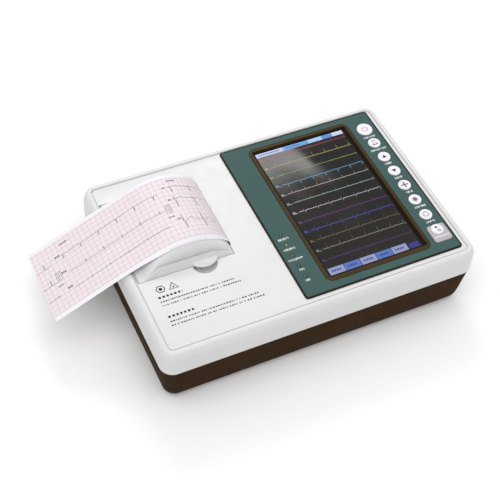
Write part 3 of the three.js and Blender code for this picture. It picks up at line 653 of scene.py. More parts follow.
def feet():
    for number, (sx, sy) in enumerate(FOUR_CORNERS, 1):
        foot = turned(f"rubber_foot_{number}", sx * FOOT_X, sy * FOOT_Y, FOOT_PROFILE)
        finish(foot, RUBBER_BLACK, "case", [f"foot_{number}"])


# ---------- printer door ----------
# the crown's x, and its height above the panel
ARCH = [
    (-144.5, 0.2), (-142, 0.8), (-139, 2), (-136, 4.2), (-133, 7.1), (-130, 9.9), (-127, 12.5),
    (-120, 16.7), (-112, 20.3), (-104, 22.9), (-97, 23.8), (-90, 23.8), (-83, 22.8), (-76, 20.7),
    (-70, 18), (-65, 14.9), (-60.5, 10.8), (-57.5, 7), (-55.5, 3.5), (-54.5, 0.3),
]
DOOR_FRONT = -20.6
DOOR_BACK = 76.5
CROWN_Y = 8
BACK_CROWN_Y = 64.4
FLANK_POWER = 2.4
FLANK_STEPS = 24
FLANK_CROWDING = 1.8
ARCH_STEPS = 6
CROWN_SPANS = 6
FACET_SLOPE = 2.14

# the facet's top edge: its height, its height at the ends, and the x between which it rises and falls
RIDGE = 7.3
RIDGE_END = 0.2
RIDGE_LEFT = (-140, -124.7)
RIDGE_RIGHT = (-72.7, -54.5)
CREASE = 1.6
VALLEY = 1.9
SKIRT = 67.3
SKIN = 2.2
SOLID_BASE = 40

TAB_PLACE = (-82.3, -11.6)
TAB_PROFILE = [
    (14.4, 71.7), (15.0, 71.8), (15.35, 72.1), (15.4, 72.7), (15.3, 73.2), (15.0, 73.6), (14.5, 73.9),
    (13.5, 74.1), (5, 74.1),
]
DISH_CENTRE = (-82.3, -22.6, 78.5)
DISH_RADII = (11.5, 5.2, 5.7)
HINGE_ROLL_R = 5.4
HINGE_ROLL_WALL = 1.1


def ridge_at(x):
    """The height of the facet's top edge above the panel."""
    left = (x - RIDGE_LEFT[0]) / (RIDGE_LEFT[1] - RIDGE_LEFT[0])
    right = (RIDGE_RIGHT[1] - x) / (RIDGE_RIGHT[1] - RIDGE_RIGHT[0])
    return RIDGE_END + max(0, min(1, left, right)) * (RIDGE - RIDGE_END)


def facet_at(x, crown):
    """The y and height of the facet's top edge, and the crease's depth behind it."""
    ridge = min(ridge_at(x), crown)
    return DOOR_FRONT + ridge / FACET_SLOPE, ridge, CREASE * ridge / RIDGE


def flank_rise(t):
    """The share of the rise from the valley to the crown, steep at its foot and level at the crown."""
    return (1 - (1 - t) ** FLANK_POWER) ** (1 / FLANK_POWER)


def flank(x, crown, crown_y):
    """Points (y, height) across a flank: the facet, its lip, the crease and the rise to the crown."""
    ridge_y, ridge, crease = facet_at(x, crown)
    row = [(DOOR_FRONT + share * (ridge_y - DOOR_FRONT), share * ridge)
           for share in (0, 0.06, 0.3, 0.6, 0.9, 0.97, 1)]
    row += [(ridge_y + back, ridge - share * crease) for back, share in ((0.35, 0.06), (0.6, 0.6), (0.8, 1))]
    low_y, low_z = ridge_y + VALLEY, ridge - crease
    for i in range(FLANK_STEPS + 1):
        t = (i / FLANK_STEPS) ** FLANK_CROWDING
        row.append((low_y + t * (crown_y - low_y), low_z + (crown - low_z) * flank_rise(t)))
    return row


def front_drop(x, y):
    """How far the door's front shoulder lies below its crown at (x, y)."""
    crown = np.interp(x, [p[0] for p in ARCH], [p[1] for p in ARCH])
    ridge_y, ridge, crease = facet_at(x, crown)
    low_y = ridge_y + VALLEY
    t = max(0, min(1, (y - low_y) / (CROWN_Y - low_y)))
    return max(0, crown - (ridge - crease)) * (1 - flank_rise(t))


def dome(name, base, inset=0, drop=0):
    """The body under the domed door top. inset and drop make the inner surface."""
    middle_x = (ARCH[0][0] + ARCH[-1][0]) / 2
    middle_y = (DOOR_FRONT + DOOR_BACK) / 2
    scale_x = 1 - 2 * inset / (ARCH[-1][0] - ARCH[0][0])
    scale_y = 1 - 2 * inset / (DOOR_BACK - DOOR_FRONT)
    rows = []
    for x, crown in spline(ARCH, ARCH_STEPS):
        mirrored = flank(x, crown, DOOR_FRONT + DOOR_BACK - BACK_CROWN_Y)
        row = flank(x, crown, CROWN_Y)
        for k in range(1, CROWN_SPANS):
            row.append((CROWN_Y + (k / CROWN_SPANS) * (BACK_CROWN_Y - CROWN_Y), crown))
        row += [(DOOR_FRONT + DOOR_BACK - y, z) for y, z in reversed(mirrored)]
        place_x = middle_x + (x - middle_x) * scale_x
        rows.append([(place_x, middle_y + (y - middle_y) * scale_y, PANEL + z - drop) for y, z in row])
    points = [p for row in rows for p in row] + [(x, y, base) for row in rows for x, y, _ in row]
    return make(name, points, two_layers(len(rows), len(rows[0])))


def finger_tab():
    """The half-round lip that sticks out of the foot of the front facet."""
    tab = turned("tab", *TAB_PLACE, TAB_PROFILE, 128)
    return carve(tab, [slab("trim", -120, -40, -17.8, 20, 60, 90)])


def door_part(obj, replaces=(), angle=32):
    finish(obj, WHITE, "door", replaces, angle)


def hinge_roll():
    """The door's left edge below the panel, a shell about the hinge: the gap stays the same as it swings."""
    x = HINGE[0]
    y0, y1 = DOOR_FRONT, DOOR_BACK
    roll = rod_y("hinge_roll", HINGE, HINGE_ROLL_R, y0, y1, 96)
    cutters = [rod_y("inside", HINGE, HINGE_ROLL_R - HINGE_ROLL_WALL, y0 + 1.2, y1 - 1.2, 96)]
    for left, foot, top in ((3.1, *DOOR_CUT), (9, 70.9, DOOR_CUT[1]), (9, DOOR_CUT[0], 66.2)):
        cutters.append(slab("trim", x - left, x + 9, y0 - 1, y1 + 1, foot, top))
    carve(roll, cutters)
    door_part(roll)


def tab_skirt():
    """The door's front wall below the finger lip, which closes the view into the printer."""
    skirt = slab("tab_skirt", -94, -71.5, DOOR_FRONT, DOOR_FRONT + 1.3, 62.4, 68.5, 0.3)
    carve(skirt, [dome("under", SOLID_BASE, 0, 0.05)], "INTERSECT")
    door_part(skirt)


def printer_door():
    """The domed door with its finger lip, and the cheeks, knuckles and ribs under it."""
    hinge_roll()
    tab_skirt()
    door = dome("door_shell", SKIRT)
    carve(door, [finger_tab()], "UNION")
    carve(door, [
        ellipsoid(DISH_CENTRE, DISH_RADII, 96, 64),
        dome("inside", SKIRT - 1, SKIN, SKIN),
        rod_y("room", PLATEN, PLATEN_R + 0.5, PAPER_Y0 - 1.2, PAPER_Y1 + 1.2),
        rod_y("room", PLATEN, 7.4, 73.3, 90),
        rod_y("room", HINGE, 1.8, -17, 75),
        rod_y("room", HINGE, 3, -15.6, -13.3),
        rod_y("room", HINGE, 3, 71.3, 73.6),
    ])
    door_part(door, ["printer_door"], 28)
    for number, (y0, y1) in enumerate(((-13.2, -11.4), (71.2, 73)), 1):
        cheek = slab(f"platen_cheek_{number}", -64.4, -56.4, y0, y1, 58.6, 79, 0.5)
        carve(cheek, [rod_y("bore", PLATEN, 2.3, y0 - 1, y1 + 1)])
        carve(cheek, [dome("under", SOLID_BASE, 0.8, 0.9)], "INTERSECT")
        door_part(cheek)
    for number, (y0, y1) in enumerate(((-13, -4), (62, 71)), 1):
        knuckle = rod_y(f"hinge_knuckle_{number}", HINGE, 2.9, y0, y1)
        carve(knuckle, [rod_y("bore", HINGE, 1.8, y0 - 1, y1 + 1)])
        door_part(knuckle)
    for number, y in enumerate((14, 30, 46), 1):
        rib = slab(f"door_rib_{number}", -138, -60, y - 0.7, y + 0.7, 66, 96, 0.3)
        carve(rib, [dome("under", SOLID_BASE, 1.5, 1.6)], "INTERSECT")
        carve(rib, [
            rod_y("room", SPOOL, SPOOL_R + 17, y - 3, y + 3, 96),
            rod_y("room", PLATEN, PLATEN_R + 2.5, y - 3, y + 3, 48),
        ])
        door_part(rib)


# ---------- paper ----------
# x and height above the panel of the paper's middle line, from the slot to its free end
PAPER_PATH = [
    (-52.9, -3), (-53.4, 1.3), (-55.0, 5.3), (-58.0, 9.0), (-62.2, 13.1), (-68, 17.3), (-76, 21.2),
    (-84, 23.5), (-92, 24.4), (-99, 24.4), (-107, 23.1), (-115, 20.5), (-123, 16.9), (-131, 13),
    (-139, 9), (-147, 5.2), (-153, 2.5), (-163, -2.4), (-192, -17.5), (-219.6, -31.8),
]
WRAP_GAP = 0.3
CURVE_STEPS = 12
NORMAL_REACH = 0.8
PAPER_HALF = 0.06
PAPER_COLUMNS = 40
PAPER_ROW = 1.2
SQUARE = 5

# the printed grid across the paper, in squares, and its fine and strong lines
GRID_MIDDLE = 8.1
GRID_HALF = 7.24
GRID_LINES = [(5.0, 0.09, 0.3, srgb(214, 190, 198)), (1.0, 0.045, 0.8, srgb(196, 172, 182))]


class Web:
    """The paper's path, from the roll round the platen and out over the door, by distance in millimetres."""

    def __init__(self):
        spool_x, spool_z = SPOOL
        dx, dz = PLATEN[0] - spool_x, PLATEN[1] - spool_z
        lean = math.atan2(dz, dx) - math.acos((SPOOL_R - PLATEN_R) / math.hypot(dx, dz))
        turns = [(SPOOL, SPOOL_R + WRAP_GAP, lean + turn) for turn in (-0.5, -0.25, 0)]
        turns += [(PLATEN, PLATEN_R + WRAP_GAP, lean * (1 - share)) for share in (0, 0.34, 0.67, 1)]
        inside = [(x + r * math.cos(angle), z + r * math.sin(angle)) for (x, z), r, angle in turns]
        self.curve = spline(inside + [(x, PANEL + z) for x, z in PAPER_PATH], CURVE_STEPS)
        steps = np.linalg.norm(np.diff(self.curve, axis=0), axis=1)
        self.along = np.concatenate([[0], np.cumsum(steps)])
        self.slot = self.along[len(inside) * CURVE_STEPS]
        self.end = self.along[-1]

    def point(self, s):
        """The x and z at distance s."""
        return np.array([np.interp(s, self.along, self.curve[:, k]) for k in (0, 1)])

    def place(self, s, y, lift):
        """The point at distance s and depth y, lifted off the web; its front edge follows the door."""
        x, z = self.point(s)
        dx, dz = self.point(s + NORMAL_REACH) - self.point(s - NORMAL_REACH)
        length = math.hypot(dx, dz)
        drop = front_drop(x, y) if s > self.slot else 0
        return (x + dz / length * lift, y, z - dx / length * lift - drop)


WEB = Web()
WEB_JOIN = WEB.slot + 2


def paper_material():
    """Coated paper with a printed 5 mm grid inside plain margins."""
    n = Nodes("recorder_paper")
    uv = n.node("UVMap")
    uv.uv_map = "grid"
    split = n.node("SeparateXYZ", Vector=uv.outputs["UV"])
    along, across = split.outputs["X"], split.outputs["Y"]

    def distance(value, centre):
        return n.math("ABSOLUTE", n.math("SUBTRACT", value, centre))

    def lines(value, per_square, share):
        scaled = n.math("FRACT", n.math("MULTIPLY", value, per_square))
        return n.math("GREATER_THAN", distance(scaled, 0.5), 0.5 - share)

    # along and across are in squares; across runs from 0 to 16
    inside = n.math("LESS_THAN", distance(across, GRID_MIDDLE), GRID_HALF)
    paper = n.ramp(n.noise(60, 4), srgb(232, 230, 236), srgb(237, 235, 240))
    inked = n.mix(inside, paper, srgb(232, 223, 226))
    for per_square, share, strength, colour in GRID_LINES:
        grid = n.math("MAXIMUM", lines(along, per_square, share), lines(across, per_square, share))
        grid = n.math("MULTIPLY", grid, inside)
        inked = n.mix(n.math("MULTIPLY", grid, strength), inked, colour)
    fibres = n.bump(n.noise(900, 4, 0.6), 0.1, 0.00003)
    return n.set(Base_Color=inked, Roughness=0.62, Sheen_Weight=0.05, Sheen_Roughness=0.5, Normal=fibres)


def paper_sheet(name, start, end, material):
    """A thin sheet along the web between two distances, with grid coordinates on both faces."""
    rows = int((end - start) / PAPER_ROW)
    points = []
    grid = []
    for lift in (PAPER_HALF, -PAPER_HALF):
        for i in range(rows + 1):
            s = start + (end - start) * i / rows
            for j in range(PAPER_COLUMNS + 1):
                y = PAPER_Y0 + (PAPER_Y1 - PAPER_Y0) * j / PAPER_COLUMNS
                points.append(WEB.place(s, y, lift))
                grid.append(((s - WEB.slot) / SQUARE, (y - PAPER_Y0) / SQUARE))
    obj = make(name, points, two_layers(rows + 1, PAPER_COLUMNS + 1))
    uv = obj.data.uv_layers.new(name="grid")
    for loop in obj.data.loops:
        uv.data[loop.index].uv = grid[loop.vertex_index]
    finish(obj, material, None, angle=60)
    return obj


def paper():
    """The strip outside the slot and the web inside it, which meet 2 mm past the slot."""
    material = paper_material()
    strip = paper_sheet("recorder_paper", WEB_JOIN, WEB.end, material)
    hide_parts("paper_strip")
    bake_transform(strip)
    web = paper_sheet("paper_web", 0.5, WEB_JOIN, material)
    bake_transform(web)


# ---------- flat print and traces ----------
def direction(degrees):
    angle = math.radians(degrees)
    return math.cos(angle), math.sin(angle)


class Print:
    """Flat printed shapes gathered into one mesh. place maps (u, v) to a point in millimetres."""

    def __init__(self, place):
        self.place = place
        self.points = []
        self.faces = []

    def polygon(self, corners):
        base = len(self.points)
        self.points += [self.place(u, v) for u, v in corners]
        self.faces.append(tuple(range(base, base + len(corners))))

    def bar(self, u0, u1, v0, v1):
        self.polygon([(u0, v0), (u1, v0), (u1, v1), (u0, v1)])

    def line(self, path, width, closed=False):
        """A stroke of constant width with mitred corners."""
        path = [np.array(p, float) for p in path]
        count = len(path)
        left, right = [], []
        for i, point in enumerate(path):
            spans = [(path[i - 1], point)] if i > 0 or closed else []
            if i < count - 1 or closed:
                spans.append((point, path[(i + 1) % count]))
            headings = [(b - a) / np.linalg.norm(b - a) for a, b in spans]
            normal = sum(np.array((-d[1], d[0])) for d in headings) / len(headings)
            normal /= max(np.dot(normal, normal), 0.35)
            left.append(point + normal * width / 2)
            right.append(point - normal * width / 2)
        for i in range(count if closed else count - 1):
            j = (i + 1) % count
            self.polygon([right[i], right[j], left[j], left[i]])

    def arc(self, radius, start, stop, width):
        """A stroke about the origin, between two angles in degrees."""
        steps = 24
        path = []
        for i in range(steps + 1):
            c, s = direction(start + (stop - start) * i / steps)
            path.append((radius * c, radius * s))
        self.line(path, width)

    def disc(self, u, v, radius):
        self.polygon(circle(u, v, radius, 28))

    def done(self, name, material, body):
        obj = make(name, self.points, self.faces)
        obj.data.materials.append(material)
        if body:
            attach(obj, body)
        return obj


def flat(z):
    return lambda u, v: (u, v, z)


BEAT_PITCH = 19.5
MAX_STEP = 1.2
TRACE_LIFT = 0.09
TRACE_WIDTH = 0.36
STEP_HEIGHT = 9.6

# one heartbeat on the paper as (distance, deflection), by lead
WAVE = [(-5, 0), (-4, 0.5), (-3, 0), (-0.5, 0)]
BEATS = {
    "down": WAVE + [(-0.2, 0.6), (0.2, -5.2), (0.6, 0), (3, 0.1), (5.5, -0.9), (8, 0)],
    "up": WAVE + [(-0.2, 3.3), (0.3, -0.6), (0.7, 0), (3, 0.1), (5.5, 0.8), (8, 0)],
    "small": WAVE + [(-0.2, 1.5), (0.3, -0.3), (0.7, 0), (3, 0.1), (5.5, 0.4), (8, 0)],
    "tall": WAVE + [(-0.3, 6.8), (0.3, -0.8), (0.8, 0), (4, 0.2), (6, 1.3), (8, 0)],
    "chest_1": WAVE + [(-0.4, 2.4), (0.2, -6.6), (0.8, 0), (3, 0.8), (7, 1.0), (10, 0.2)],
    "chest_2": WAVE + [(-0.4, 4.6), (0.3, -10.4), (0.9, -0.4), (3.5, 0.8), (6, 2.0), (9, 0.2)],
    "chest_3": WAVE + [(-0.4, 8.6), (0.3, -9.4), (0.9, -0.6), (4, 0.8), (7.5, 3.2), (10.5, 0.2)],
}

# each lead's start and stop (a start of None is the paper's end), level, beat, last beat and drift
LEADS = [
    (None, 176.5, 45, "tall", 182.6, 0), (None, 176.5, 25.5, "tall", 182.3, 0),
    (None, 177.5, 10.8, "small", 201, 0), (163.5, 60.5, 49.3, "down", 64.8, 0.7),
    (163.5, 60.5, 28.0, "up", 66.0, 0.5), (164.0, 61.5, 10.2, "small", 67.0, 0.4),
    (48.5, 14, 54.4, "chest_1", 26.3, 0), (49.0, 15, 39.5, "chest_2", 27.6, 0),
    (49.6, 13, 12.4, "chest_3", 29.2, 0),
]

# words on the paper as rows of bars: distance, level, widths and height
SHORT_WORD = (0.6, 0.9, 0.4, 0.6, 0.9)
LONG_WORD = (0.7, 1.1, 0.5, 0.9, 0.7, 1.1, 0.6)
TAGS = [
    (177.5, 19.6, SHORT_WORD, 1.6), (60.5, 19.6, SHORT_WORD, 1.6),
    (161.5, 59.4, LONG_WORD, 1.7), (46.5, 61.4, LONG_WORD, 1.7),
    *((169.8, level, (1.3, 1.0, 1.3), 1.9) for level in (49, 30.4, 12.4)),
    *((53.4, level, (1.2, 0.8), 1.9) for level in (54, 38.6, 15.2)),
]


def subdivided(path):
    """The same path with no step longer than MAX_STEP, so it follows the paper's bend."""
    dense = [path[0]]
    for a, b in zip(path, path[1:]):
        count = max(1, math.ceil(math.dist(a, b) / MAX_STEP))
        for k in range(1, count + 1):
            dense.append((a[0] + (b[0] - a[0]) * k / count, a[1] + (b[1] - a[1]) * k / count))
    return dense


def lead(start, stop, level, beat, last_beat, drift, ripple):
    """One lead's path from start down to stop, with beats at last_beat and every BEAT_PITCH before it."""
    path = []
    position = last_beat
    while position - beat[0][0] < start:
        position += BEAT_PITCH
    while position > stop:
        path += [(position - dx, dy) for dx, dy in beat if stop < position - dx < start]
        position -= BEAT_PITCH
    dense = []
    for u, v in subdivided([(start, 0)] + path + [(stop, 0)]):
        sway = drift * math.sin((u - stop) / 17) + ripple.uniform(-0.12, 0.12)
        dense.append((u, level + v + sway))
    return dense


def recording():
    """The traces, calibration steps and small marks on the paper. u is the distance from the slot."""
    marks = Print(lambda u, v: WEB.place(WEB.slot + u, v, TRACE_LIFT))
    ripple = random.Random(3)
    for start, stop, level, beat, last_beat, drift in LEADS:
        start = start or WEB.end - WEB.slot - 0.3
        marks.line(lead(start, stop, level, BEATS[beat], last_beat, drift, ripple), TRACE_WIDTH)
    for u, level in ((175.8, 25.2), (59.2, 25.0)):
        high = level + STEP_HEIGHT
        path = [(u, level), (u, high), (u - 1.8, high), (u - 1.8, level)]
        path += [(u - 3.1, level), (u - 3.1, high), (u - 4.9, high), (u - 4.9, level)]
        marks.line(subdivided(path), TRACE_WIDTH)
    for u, level, widths, height in TAGS:
        for width in widths:
            marks.bar(u - width, u, level, level + height)
            u -= width + 0.45
    traces = marks.done("recorded_traces", ink("recorded_ink", srgb(92, 86, 94), 0.7), None)
    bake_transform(traces)


# ---------- front panel ----------
KEY_NAMES = ["power", "setup", "prev", "next", "insert", "freeze", "mode"]
LED_NAMES = ["ready", "error", "charge", "dc", "mains"]
KEY_RADIUS = 6.2
POWER_RADIUS = 7.9
RIM_WIDTH = 1.5
FILM_GAP = 0.1
LED_HOLE_R = 1.8
BEZEL_NECK = (12.9, 115.7, -81.1, 86.1, 69.6, 72.3)


def key_places():
    """Name, centre and radius of each round key."""
    places = []
    for name in KEY_NAMES:
        x, y, _ = middle(limits(f"key_{name}"))
        places.append((name, x, y, POWER_RADIUS if name == "power" else KEY_RADIUS))
    return places


def led_places():
    return [(name, *middle(limits(f"led_{name}"))[:2]) for name in LED_NAMES]


def print_key_box():
    x0, x1, y0, y1, _, _ = limits("key_print")
    return x0, x1, y0 + 1.3, y1 - 1.3


def panel_holes(margin):
    """Cutters for the keys, wider by margin, and for the lights."""
    holes = [turned("hole", x, y, [(r + margin, z) for z in CUT], 72) for _, x, y, r in key_places()]
    holes.append(opening(print_key_box(), margin, 3 + margin, 12))
    holes += [turned("hole", x, y, [(LED_HOLE_R, z) for z in CUT], 40) for _, x, y in led_places()]
    return holes


def fascia():
    """The dark rim plate and the film that lies in it."""
    z0, z1 = PLATE[4:]
    edge = [(0, z0), (0, z1 - 0.35), (0.12, z1 - 0.1), (0.35, z1)]
    plate = loft("fascia_rim", [(ring(PLATE, inset, 3 - inset), z) for inset, z in edge])
    level = ring(PLATE, RIM_WIDTH, 2.2)
    inner = loft("inner", [(level, 72), (level, CUT[1])])
    carve(plate, [inner, opening(MODULE, 0.4, 1.5), *panel_holes(0.3)])
    finish(plate, RIM_BROWN, "case", ["fascia_plate"])
    level = ring(PLATE, RIM_WIDTH + FILM_GAP, 2.1)
    top = ring(PLATE, RIM_WIDTH + 0.2, 2.0)
    film = loft("overlay_film", [(level, FILM_FOOT), (level, 72.42), (top, FILM_TOP)])
    carve(film, [opening(BEZEL, 0.3, 7.3, 14), *panel_holes(0.4)])
    finish(film, FILM, "case", ["front_overlay"])


def bezel():
    """The frame round the screen, with its inner slope, and a black ring at the glass edge that is painted
    shade on the foot of the inner slope.
    """
    top = BEZEL[5]
    glass_top = GLASS[5]
    edge = [(0, FILM_FOOT), (0, top - 0.55), (0.1, top - 0.3), (0.35, top - 0.08), (0.8, top)]
    body = loft("bezel_ring", [(ring(BEZEL, inset, 7 - inset), z) for inset, z in edge])
    carve(body, [slab("neck", *BEZEL_NECK, 1.2)], "UNION")
    inner, outer = ring(GLASS, -0.3, 1.0), ring(GLASS, -1.0, 1.6)
    funnel = [(inner, CUT[0]), (inner, glass_top), (outer, top + 0.001), (outer, CUT[1])]
    carve(body, [loft("funnel", funnel)])
    finish(body, BEZEL_BROWN, "case", ["screen_bezel"])
    # a black ring on the glass edge: painted shade on the foot of the bezel's inner wall
    shade_ring = loft("bezel_shade_ring", [
        (ring(GLASS, 0, 0.9), glass_top + 0.05),
        (ring(GLASS, -0.1, 0.95), glass_top + 0.7),
    ])
    funnel = loft("funnel", [(ring(GLASS, 0.8, 0.6), glass_top - 1), (ring(GLASS, 0.5, 0.6), glass_top + 2)])
    carve(shade_ring, [funnel])
    finish(shade_ring, BORDER_AND_SHADE_BLACK, "case")


# ---------- display ----------
# the dark border's width at the left, right, front and back
BORDER = (1.4, 3.0, 1.5, 1.4)
SCREEN = (GLASS[0] + BORDER[0], GLASS[1] - BORDER[1], GLASS[2] + BORDER[2], GLASS[3] - BORDER[3])

# the status bar's fields, each with the share of the width where it ends, and the soft keys' two colours
STATUS = [
    ("pale", srgb(186, 198, 240), 0.31), ("sky", srgb(96, 160, 226), 0.587),
    ("mist", srgb(170, 204, 244), 0.76), ("blue", srgb(84, 142, 222), 0.87), ("ice", srgb(206, 218, 250), 1),
]
SOFT_KEYS = [("lilac", srgb(150, 160, 204)), ("mid", srgb(84, 118, 196))]
INDIGO_INK = lit("lit_indigo_text", srgb(60, 62, 140), 0.6)

# colour and the beat's deflection up and down, from the back of the screen to its front
TRACES = [
    ("red", srgb(190, 62, 80), 3.6, 0), ("yellow", srgb(204, 190, 92), 4.2, 0),
    ("olive", srgb(150, 168, 66), 0.5, 0), ("azure", srgb(112, 182, 228), -3.4, 0),
    ("sand", srgb(206, 196, 186), 2.6, 0), ("mint", srgb(160, 200, 186), 1.4, 0),
    ("white", srgb(214, 212, 236), 1.6, -1.6), ("purple", srgb(134, 48, 156), 2.4, -1.6),
    ("indigo", srgb(92, 90, 206), 3.6, -2.0), ("bronze", srgb(134, 114, 70), 5.2, -1.2),
    ("tan", srgb(172, 158, 136), 4.4, -0.8), ("violet", srgb(98, 48, 132), 2.4, 0),
]
FIRST_TRACE = 73.5
TRACE_PITCH = 12.05
BEAT = 13.4
TRACE_START = 7.5
TRACE_MARGIN = 0.4
TRACE_STROKE = 0.56
TRACE_TAG = ((1.4, 2.3, 1.5), (2.9, 3.7, 1.5), (4.2, 6.0, -0.4))


def display_material():
    """A dark backlit panel, a little lighter in soft patches."""
    n = Nodes("display_panel")
    return n.set(
        Base_Color=n.ramp(n.noise(14, 3), srgb(14, 13, 14), srgb(30, 26, 20)),
        Roughness=n.ramp(n.noise(26, 4, 0.6), 0.08, 0.2),
        Specular_IOR_Level=0.34,
    )


def heartbeat(up, down):
    """One beat as (x, y) from its start: a small wave, the sharp complex and a rounded wave."""
    side = 1 if up >= 0 else -1
    return [
        (0, 0), (2.2, 0), (2.9, 0.25), (3.6, 0), (4.7, 0), (5.0, -0.3 * side), (5.5, up * 1.5),
        (6.1, down * 1.4 - 0.5), (6.6, 0), (8.6, 0), (9.6, 0.6 * side), (10.6, 0),
    ]


def on_screen(name, lift, bars, material, path=None):
    """Flat bars (x0, x1, y0, y1), and a trace along a path, as one piece a little above the glass."""
    marks = Print(flat(GLASS[5] + lift))
    if path:
        marks.line(path, TRACE_STROKE)
    for bar in bars:
        marks.bar(*bar)
    marks.done(name, material, "case")


def display():
    x0, x1, y0, y1, _, top = GLASS
    glass = soft_slab("display_glass", GLASS, top - 1.2, top, 0.8, 0.15)
    finish(glass, display_material(), "case", ["screen_window"])
    sx0, sx1, sy0, sy1 = SCREEN
    border = [(x0, sx0, y0, y1), (sx1, x1, y0, y1), (sx0, sx1, y0, sy0), (sx0, sx1, sy1, y1)]
    on_screen("display_border", 0.03, border, BORDER_AND_SHADE_BLACK)
    status_bar(sx0, sx1, sy1)
    soft_keys(sx0, sx1, sy0)
    for index, (name, colour, up, down) in enumerate(TRACES):
        level = FIRST_TRACE - index * TRACE_PITCH
        stop = sx1 - TRACE_MARGIN
        path = []
        x = sx0 + TRACE_START
        while x < sx1 - 1:
            path += [(x + dx, level + dy) for dx, dy in heartbeat(up, down) if x + dx < stop]
            x += BEAT
        path.append((stop, level))
        tag = [(sx0 + u0, sx0 + u1, level - 1.1, level + v1) for u0, u1, v1 in TRACE_TAG]
        on_screen(f"trace_{name}", 0.05, tag, lit(f"lit_{name}", colour, 0.6), path)


def status_bar(x0, x1, top):
    words = [(x0 + 2.4 + i * 2.6, x0 + 4.2 + i * 2.6, top - 3.3, top - 1.7) for i in range(9)]
    words += [(x0 + 33 + i * 2.5, x0 + 34.6 + i * 2.5, top - 3.3, top - 1.9) for i in range(6)]
    on_screen("status_marks", 0.06, words, INDIGO_INK)
    width = x1 - x0
    start = 0
    for name, colour, stop in STATUS:
        field = (x0 + start * width + 0.25, x0 + stop * width - 0.1, top - 5, top - 0.2)
        on_screen(f"status_{name}", 0.04, [field], lit(f"lit_{name}", colour))
        start = stop


def soft_keys(x0, x1, foot):
    pitch = (x1 - x0 - 13.5) / 5
    materials = [lit(f"lit_{name}", colour, 0.7) for name, colour in SOFT_KEYS]
    for index in range(5):
        start = x0 + 0.8 + index * pitch
        key = (start, start + pitch - 0.6, foot + 0.6, foot + 8.4)
        on_screen(f"soft_key_{index + 1}", 0.04, [key], materials[index % 2])
        words = [(start + 3 + k * 2.4, start + 4.6 + k * 2.4, foot + 3.4, foot + 5.6) for k in range(4)]
        on_screen(f"soft_key_marks_{index + 1}", 0.06, words, INDIGO_INK)
    end = (x1 - 11.5, x1 - 1.5, foot + 1, foot + 6.6)
    on_screen("soft_key_end", 0.04, [end], lit("lit_navy", srgb(44, 42, 138)))


# ---------- keys and lights ----------
KEY_TOP = 73.25
SIGN_SCALE = 1.15
SIGN_COLOURS = {"power": PRINT_RED, "mode": PRINT_GREY, "setup": PRINT_GREY}
BELL = [(-1.7, -1.6), (-0.7, 1.2), (-1.6, 2.6), (0, 3.2), (1.2, 2.3), (0.9, 0.9), (1.9, -1.6)]
PRINT_SIGN = [(-0.1, -2.9), (2.1, -2.9), (2.1, -0.9), (-0.1, -0.9)]
PRINT_KEY_TOP = 73.3
PRINT_DISC_Y = -67
PRINT_DISC = [(5.85, 73.2), (5.85, 73.42), (5.6, 73.5), (0.05, 73.5)]
LENS_PROFILE = [
    (1.5, 64.8), (2.4, 65), (2.4, 70.4), (1.5, 70.5), (1.5, 72.3), (1.42, 72.6), (1.2, 72.82),
    (0.85, 72.95), (0.4, 73.0), (0.05, 73.01),
]


def key_symbol(name, x, y, z):
    """The printed sign on a key, as plain strokes about the key's centre."""
    sign = Print(lambda u, v: (x + u * SIGN_SCALE, y + v * SIGN_SCALE, z))
    if name == "power":
        sign.arc(2.5, 120, 420, 0.5)
        sign.line([(0, 0.3), (0, 3.3)], 0.5)
    elif name == "setup":
        sign.line([(-2.6, -2.1), (2.8, -2.1)], 0.9)
        sign.line(BELL, 0.36)
    elif name == "prev":
        sign.polygon([(-1.9, -1.4), (1.9, -1.4), (0, 1.9)])
    elif name == "next":
        sign.polygon([(-1.9, 1.4), (0, -1.9), (1.9, 1.4)])
    elif name == "insert":
        for angle in (0, 90, 180, 270):
            c, s = direction(angle)
            sign.polygon([(-0.28 * s, 0.28 * c), (0.28 * s, -0.28 * c), (3 * c + 0.6 * s, 3 * s - 0.6 * c),
                          (3.3 * c, 3.3 * s), (3 * c - 0.6 * s, 3 * s + 0.6 * c)])
    elif name == "freeze":
        for angle in range(0, 180, 45):
            c, s = direction(angle)
            sign.line([(-2.9 * c, -2.9 * s), (2.9 * c, 2.9 * s)], 0.42)
        sign.arc(1.5, 0, 360, 0.36)
    elif name == "mode":
        for stop in (200, 320, 440):
            sign.arc(2.3, stop - 100, stop, 0.42)
            c, s = direction(stop)
            sign.polygon([(2.9 * c, 2.9 * s), (2.3 * c - 1.1 * s, 2.3 * s + 1.1 * c), (1.6 * c, 1.6 * s)])
    sign.done(f"sign_{name}", SIGN_COLOURS.get(name, PRINT_BLACK), f"key_{name}")


def keys():
    for name, x, y, r in key_places():
        top = KEY_TOP
        cap = turned(f"cap_{name}", x, y, [
            (3, 65.3), (3, 68.4), (r + 0.75, 68.5), (r + 0.75, 70.5), (r, 70.6), (r, top - 0.5),
            (r - 0.12, top - 0.22), (r - 0.35, top - 0.06), (r - 0.7, top), (r - 1.4, top - 0.03),
            (r * 0.6, top - 0.16), (r * 0.3, top - 0.22), (0.05, top - 0.24),
        ], 72)
        finish(cap, KEY_WHITE, f"key_{name}", [f"key_{name}"], 40)
        key_symbol(name, x, y, top - 0.1)


